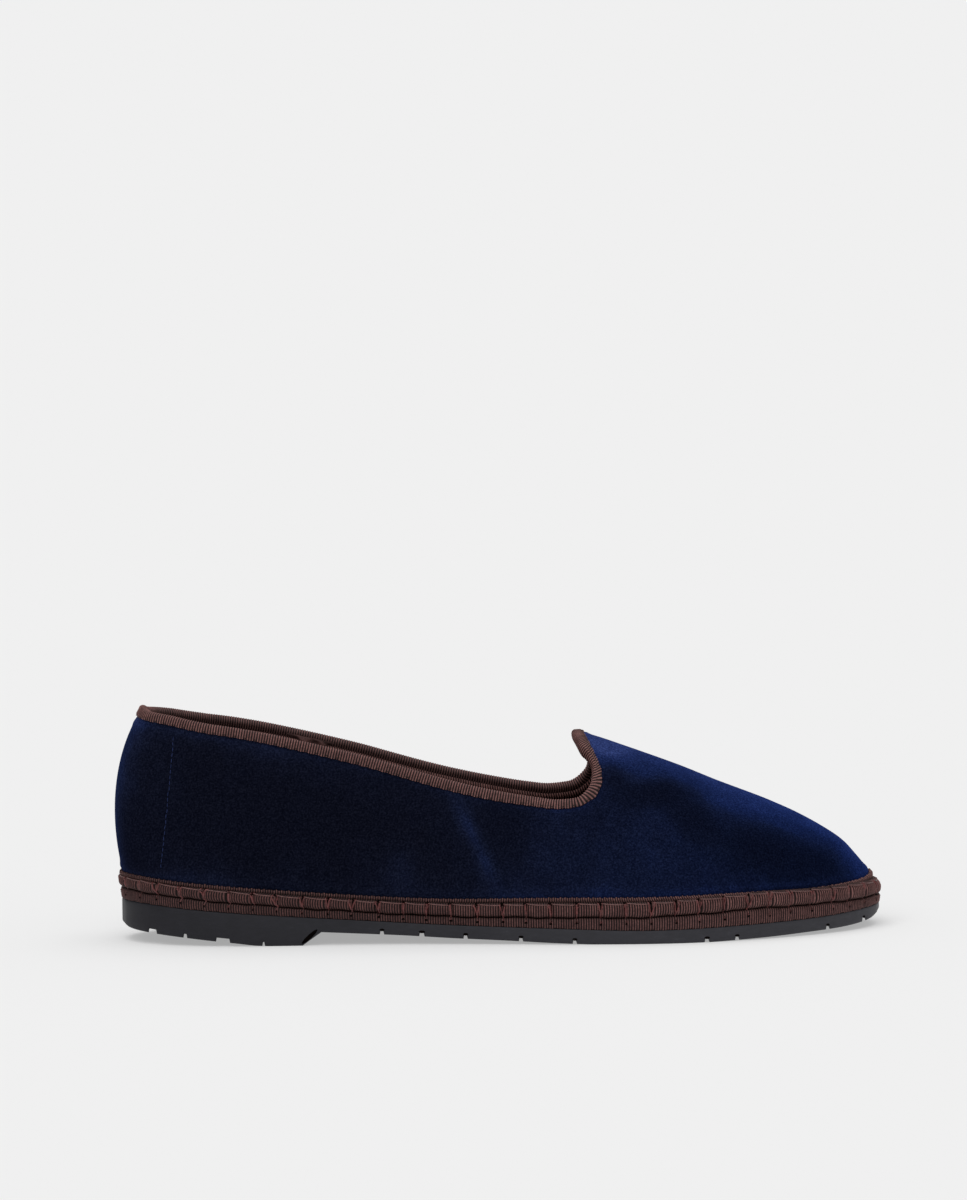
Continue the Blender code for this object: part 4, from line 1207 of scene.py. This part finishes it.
def build_midsole():
    """Make the wrapped midsole with its ribbed band, its wandering crease, its ragged lower edge and painted
    shade under the roll.
    """
    phase, rib = ribs_round(ROUND_SOLE)
    base, direction, stitches = sole_edge(even_shares(len(phase)))
    ragged = 0.10 * MM * np.sin(phase * 2.1) + 0.08 * MM * np.sin(phase * 0.83 + 1.0)
    rings = []
    for share, back, strength, _ in BAND_LOOK:
        plan = base + direction * (rib * 0.8 * strength - back * BAND_SET_BACK)[:, None]
        low = rubber_top(plan[:, 0]) + 0.4 * GAP + ragged * (share < 0.1)
        high = deck(plan[:, 0]) - GAP / 2 + crease_wave(stitches) * share
        rings.append(np.column_stack((plan, low + (high - low) * share)))
    # Second UV value: painted shade of each ring, from the band table
    uv = np.column_stack((np.tile(phase, len(rings)), np.repeat([row[3] for row in BAND_LOOK], len(phase))))
    new_plate("midsole_tape", rings, FOXING_LOOK, "grosgrain", ("midsole",), uv)


def sweep(paths, radius, sides=6):
    """Return the vertices and faces of round threads along paths, thinner towards their ends."""
    vertices, faces = [], []
    angles = 2 * math.pi * np.arange(sides)[:, None] / sides
    for path in paths:
        path = np.asarray(path)
        first = len(vertices)
        for i, (point, tangent) in enumerate(zip(path, unit(np.gradient(path, axis=0)))):
            side = unit(np.cross(tangent, (0.31, 0.22, 0.92)))
            other = np.cross(tangent, side)
            thick = radius * (0.5 if i in (0, len(path) - 1) else 1.0)
            vertices.extend(point + (side * np.cos(angles) + other * np.sin(angles)) * thick)
        for i in range(len(path) - 1):
            a = first + i * sides
            for s in range(sides):
                n = (s + 1) % sides
                faces.append((a + s, a + n, a + sides + n, a + sides + s))
        last = first + (len(path) - 1) * sides
        faces.append(tuple(first + s for s in range(sides)))
        faces.append(tuple(last + s for s in range(sides - 1, -1, -1)))
    return vertices, faces


def add_oval(vertices, faces, centre, out, wide, high, lean=0.0):
    """Add a small flat dark oval of painted shade, leaning forward by an angle, to lists of vertices and
    faces.
    """
    first, sides = len(vertices), 10
    level = np.array([abs(out[1]), -out[0] * math.copysign(1.0, out[1]), 0.0])
    up = np.array([0.0, 0.0, 1.0])
    across = level * math.cos(lean) - up * math.sin(lean)
    tall = level * math.sin(lean) + up * math.cos(lean)
    for s in range(sides):
        angle = 2 * math.pi * s / sides
        vertices.append(centre + across * (wide * math.cos(angle)) + tall * (high * math.sin(angle)))
        n = (s + 1) % sides
        faces.append((first + s, first + n, first + sides))
        faces.append((first + n, first + s, first + sides + 1))
    vertices.append(centre + out * (0.04 * MM))
    vertices.append(centre - out * (0.5 * MM))


def build_stitches():
    """Make the blanket stitch: strands that spread upwards over the roll, a run to the next stitch, and ovals
    of painted shade at its holes.
    """
    count = STITCHES * STITCH_POINTS
    shares, _, direction, rows = foxing_grid(count)
    column_step = STITCH_PITCH / STITCH_POINTS
    rng = np.random.default_rng(SEED)
    strands, runs, tops, hole_shade_points, hole_shade_faces = [], [], [], [], []

    def on_roll(row, column, lift):
        column = int(round(column)) % count
        return rows[row, column] + direction[column] * lift

    for n in range(STITCHES):
        k = n * STITCH_POINTS + rng.integers(-2, 3)
        column = int(k) % count
        out = direction[column]
        x = rows[0, column, 0]
        edge = by_share(SOLE, shares[column : column + 1])[0]
        level = deck(edge[0]) - (deck(x) - rubber_top(x)) * (0.36 + 0.14 * rng.random())
        hole = np.append(edge - out[:2] * (BAND_SET_BACK * 0.5), level)
        kind = rng.random()
        spread = (0.65 + 0.55 * rng.random()) * MM / column_step if kind < 0.62 else 0.25 * MM / column_step
        lean = (rng.random() - 0.5) * 1.0 * MM / column_step
        top_row = 10 if rng.random() < 0.5 else 9
        for side in (-1, 1) if kind < 0.85 else (0.4,):
            end = k + (side * spread + lean)
            path = [hole - out * (0.5 * MM), hole + out * (0.16 * MM) + np.array([0, 0, 0.15 * MM])]
            path.append(on_roll(1, k, -0.10 * MM) - np.array([0, 0, 0.1 * MM]))
            for row, share in ((3, 0.10), (5, 0.35), (7, 0.72), (8, 0.92)):
                path.append(on_roll(row, k + (side * spread + lean) * share, THREAD * 1.1))
            path.append(on_roll(top_row, end, THREAD * 1.2))
            path.append(on_roll(top_row + 1, end + side, -0.5 * MM))
            strands.append(path)
        # Flat dark ovals of painted shade stand for the shadowed holes below and above each stitch
        low_hole = hole + out * (0.18 * MM) + np.array([0, 0, -0.30 * MM])
        add_oval(hole_shade_points, hole_shade_faces, low_hole, out, 0.62 * MM, 0.36 * MM)
        wide = (0.60 + 0.25 * rng.random()) * MM
        add_oval(hole_shade_points, hole_shade_faces, on_roll(10, k + lean, 0.45 * MM), out, wide, 0.50 * MM)
        tops.append((k + lean, 0.25 + 0.5 * rng.random()))
    for n in range(STITCHES):
        start, rise = tops[n]
        stop = tops[(n + 1) % STITCHES][0] + (count if n == STITCHES - 1 else 0)
        sag = (0.15 + 0.55 * rng.random()) * MM
        path = []
        for t in np.arange(11) / 10.0:
            column = start + (stop - start) * t
            drop = sag * 4 * t * (1 - t) * 0.35 + 0.30 * MM * t
            lift = -0.12 * MM if t in (0.0, 1.0) else 0.38 * MM
            path.append(on_roll(10, column, lift) + np.array([0, 0, 0.35 * MM * rise * (1 - t) - drop]))
        runs.append(path)
    new_object("stitch_strands", *sweep(strands, THREAD), THREAD_LOOK, "grosgrain")
    new_object("stitch_runs", *sweep(runs, THREAD * 0.66), RUN_LOOK, "grosgrain")
    new_object("stitch_hole_shade", hole_shade_points, hole_shade_faces, PAINTED_SHADE_LOOK, "grosgrain")


# Sole


def sole_ring(loop, xs, height):
    """Return a ring of points at stations of a plan loop, with a point at the heel and one at the toe."""
    lateral, medial = at_station(loop, xs)
    heel, toe = loop[int(loop[:, 0].argmin())], loop[int(loop[:, 0].argmax())]
    plan = np.vstack((heel[None], lateral, toe[None], medial[::-1]))
    return np.column_stack((plan, height(plan[:, 0])))


def build_rubber():
    """Make the rubber sole with its tread grooves and small edge steps, and marks of painted shade in its
    recesses.
    """
    grooves = [(share * SOLE_LENGTH, width * TREAD_GROOVE / 2) for share, width in TREAD]
    side = set_in(BAND_SET_BACK)
    foot = set_in(BAND_SET_BACK + EDGE_ROUND)
    plain = [share * SOLE_LENGTH for share in cosine_steps(RUBBER_STATIONS)] + [BREAST, BREAST + BREAST_SLOPE]
    rows = [(x, 0.0) for x in plain if all(abs(x - middle) > half + 0.5 * MM for middle, half in grooves)]
    for middle, half in grooves:
        rows += [(middle - half, 0.0), (middle - half + GAP, 1.0)]
        rows += [(middle + half - GAP, 1.0), (middle + half, 0.0)]
    rows = sorted(r for r in rows if foot[:, 0].min() + 0.2 * MM < r[0] < foot[:, 0].max() - 0.2 * MM)
    xs = np.array([r[0] for r in rows])
    deep = np.array([r[1] for r in rows]) * TREAD_DEPTH

    def under(x):
        return smooth_bottom(x) + np.interp(x, xs, deep)

    rings = []
    for loop, up in ((foot, 0.0), (set_in(BAND_SET_BACK + 0.25 * EDGE_ROUND), 0.35), (side, 1.0)):
        rings.append(sole_ring(loop, xs, lambda x: under(x) + EDGE_ROUND * up))
    for share in (0.25, 0.5, 0.75, 0.93):
        rings.append(sole_ring(
            side, xs, lambda x: (under(x) + EDGE_ROUND) * (1 - share) + rubber_top(x) * share))
    rings.append(sole_ring(set_in(BAND_SET_BACK + 0.15 * MM), xs, rubber_top))
    new_plate("rubber_sole", rings, RUBBER_LOOK, "rubber", ("outsole",))
    # Painted shade: dark ovals on the side wall above the forefoot's tread grooves, and a leaning one in the
    # heel breast's recess
    painted_shade_marks = [(middle, smooth_bottom(middle) + TREAD_DEPTH + 0.25 * MM, 1.2 * half, 0.50 * MM, 0.0)
             for middle, half in grooves if middle > BREAST + BREAST_SLOPE]
    painted_shade_marks.append((BREAST + 2.6 * MM, 3.4 * MM, 0.8 * MM, 4.0 * MM, math.radians(48)))
    vertices, faces = [], []
    for x, z, wide, high, lean in painted_shade_marks:
        for point in at_station(side, np.array([x])):
            nearest = int(np.argmin(np.linalg.norm(SOLE - point[0], axis=1)))
            out = np.append(SOLE_NORMALS[nearest], 0.0)
            add_oval(vertices, faces, np.append(point[0], z) + out * (0.05 * MM), out, wide, high, lean)
    new_object("tread_shade", vertices, faces, PAINTED_SHADE_LOOK, "rubber")


def build_sock():
    """Make the insole with a soft rounded edge."""
    room = 2 * GAP + UPPER_WALL + (SEAT_BACK_TOE - SEAT_BACK + 1.5 * UPPER_WALL) * station_of_edge**3
    low = set_in(SEAT_BACK + room)
    high = set_in(SEAT_BACK + room + 0.6 * MM)
    xs = low[:, 0].min() + (low[:, 0].max() - low[:, 0].min()) * cosine_steps(SOCK_STATIONS)
    xs = xs[(xs > high[:, 0].min() + 0.1 * MM) & (xs < high[:, 0].max() - 0.1 * MM)]
    rings = []
    for loop, share in ((low, 0.0), (low, 0.5), (low, 0.85), (high, 1.0)):
        rings.append(sole_ring(loop, xs, lambda x: deck(x) + GAP / 2 + INSOLE_THICKNESS * share))
    new_plate("insole_sock", rings, SOCK_LOOK, "sock", ("insole",))


# Floor, light and camera


def build_stage():
    """Make the pale floor, which glows in part as painted light, and the soft studio light."""
    scene = bpy.context.scene
    world = bpy.data.worlds.new("studio")
    scene.world = world
    world.use_nodes = True
    background = world.node_tree.nodes["Background"]
    feed(world.node_tree, background, {"Color": (1.0, 1.0, 1.0, 1.0), "Strength": SKY})
    lit = SKY
    for name, direction, power, spread in LIGHTS:
        way = Vector(direction).normalized()
        lit += power * -way.z / math.pi
        light = bpy.data.lights.new(name, "SUN")
        light.energy = power
        light.angle = math.radians(spread)
        lamp = bpy.data.objects.new(name, light)
        lamp.rotation_euler = way.to_track_quat("-Z", "Y").to_euler()
        scene.collection.objects.link(lamp)
    floor_mesh = bpy.data.meshes.new("floor")
    size = FLOOR_SIZE / 2
    corners = [(-size, -size, 0), (size, -size, 0), (size, size, 0), (-size, size, 0)]
    floor_mesh.from_pydata(corners, [], [(0, 1, 2, 3)])
    material, tree, shader = new_material("floor_look")
    # Painted light: part of the floor's brightness is its own glow, which lifts the shadows under the shoe
    albedo = PAPER * (1.0 - SHADOW_LIFTING_GLOW) / lit
    feed(tree, shader, {
        "Emission Color": (1.0, 1.0, 1.0, 1.0),
        "Emission Strength": PAPER * SHADOW_LIFTING_GLOW,
        "Base Color": (albedo, albedo, albedo, 1.0),
        "Roughness": 1.0,
        "Specular IOR Level": 0.0,
    })
    floor_mesh.materials.append(material)
    floor = bpy.data.objects.new("floor", floor_mesh)
    scene.collection.objects.link(floor)
    scene.view_settings.view_transform = "Standard"
    scene.view_settings.look = "None"


def add_camera():
    """Place the camera so that the shoe fills the same part of the picture as in the photograph."""
    e, a = math.radians(ELEVATION), math.radians(AZIMUTH)
    back = Vector((math.sin(a) * math.cos(e), -math.cos(a) * math.cos(e), math.sin(e)))
    turned = (-back).to_track_quat("-Z", "Y").to_matrix() @ Matrix.Rotation(math.radians(CAMERA_ROLL), 3, "Z")
    right = (AIM_PIXEL[0] - IMAGE[0] / 2) / PIXELS_PER_METRE
    up = (IMAGE[1] / 2 - AIM_PIXEL[1]) / PIXELS_PER_METRE
    data = bpy.data.cameras.new("camera")
    data.sensor_width = SENSOR
    data.lens = PIXELS_PER_METRE * DISTANCE / IMAGE[1] * SENSOR
    data.clip_end = 1000.0
    camera = bpy.data.objects.new("camera", data)
    camera.location = Vector(AIM_POINT) + back * DISTANCE - turned.col[0] * right - turned.col[1] * up
    camera.rotation_euler = turned.to_euler()
    bpy.context.scene.collection.objects.link(camera)
    bpy.context.scene.camera = camera


build_velvet()
build_lining()
build_collar_tape()
build_inner_band()
build_tape_join()
build_foxing()
build_midsole()
build_stitches()
build_seam()
build_rubber()
build_sock()
build_stage()
add_camera()
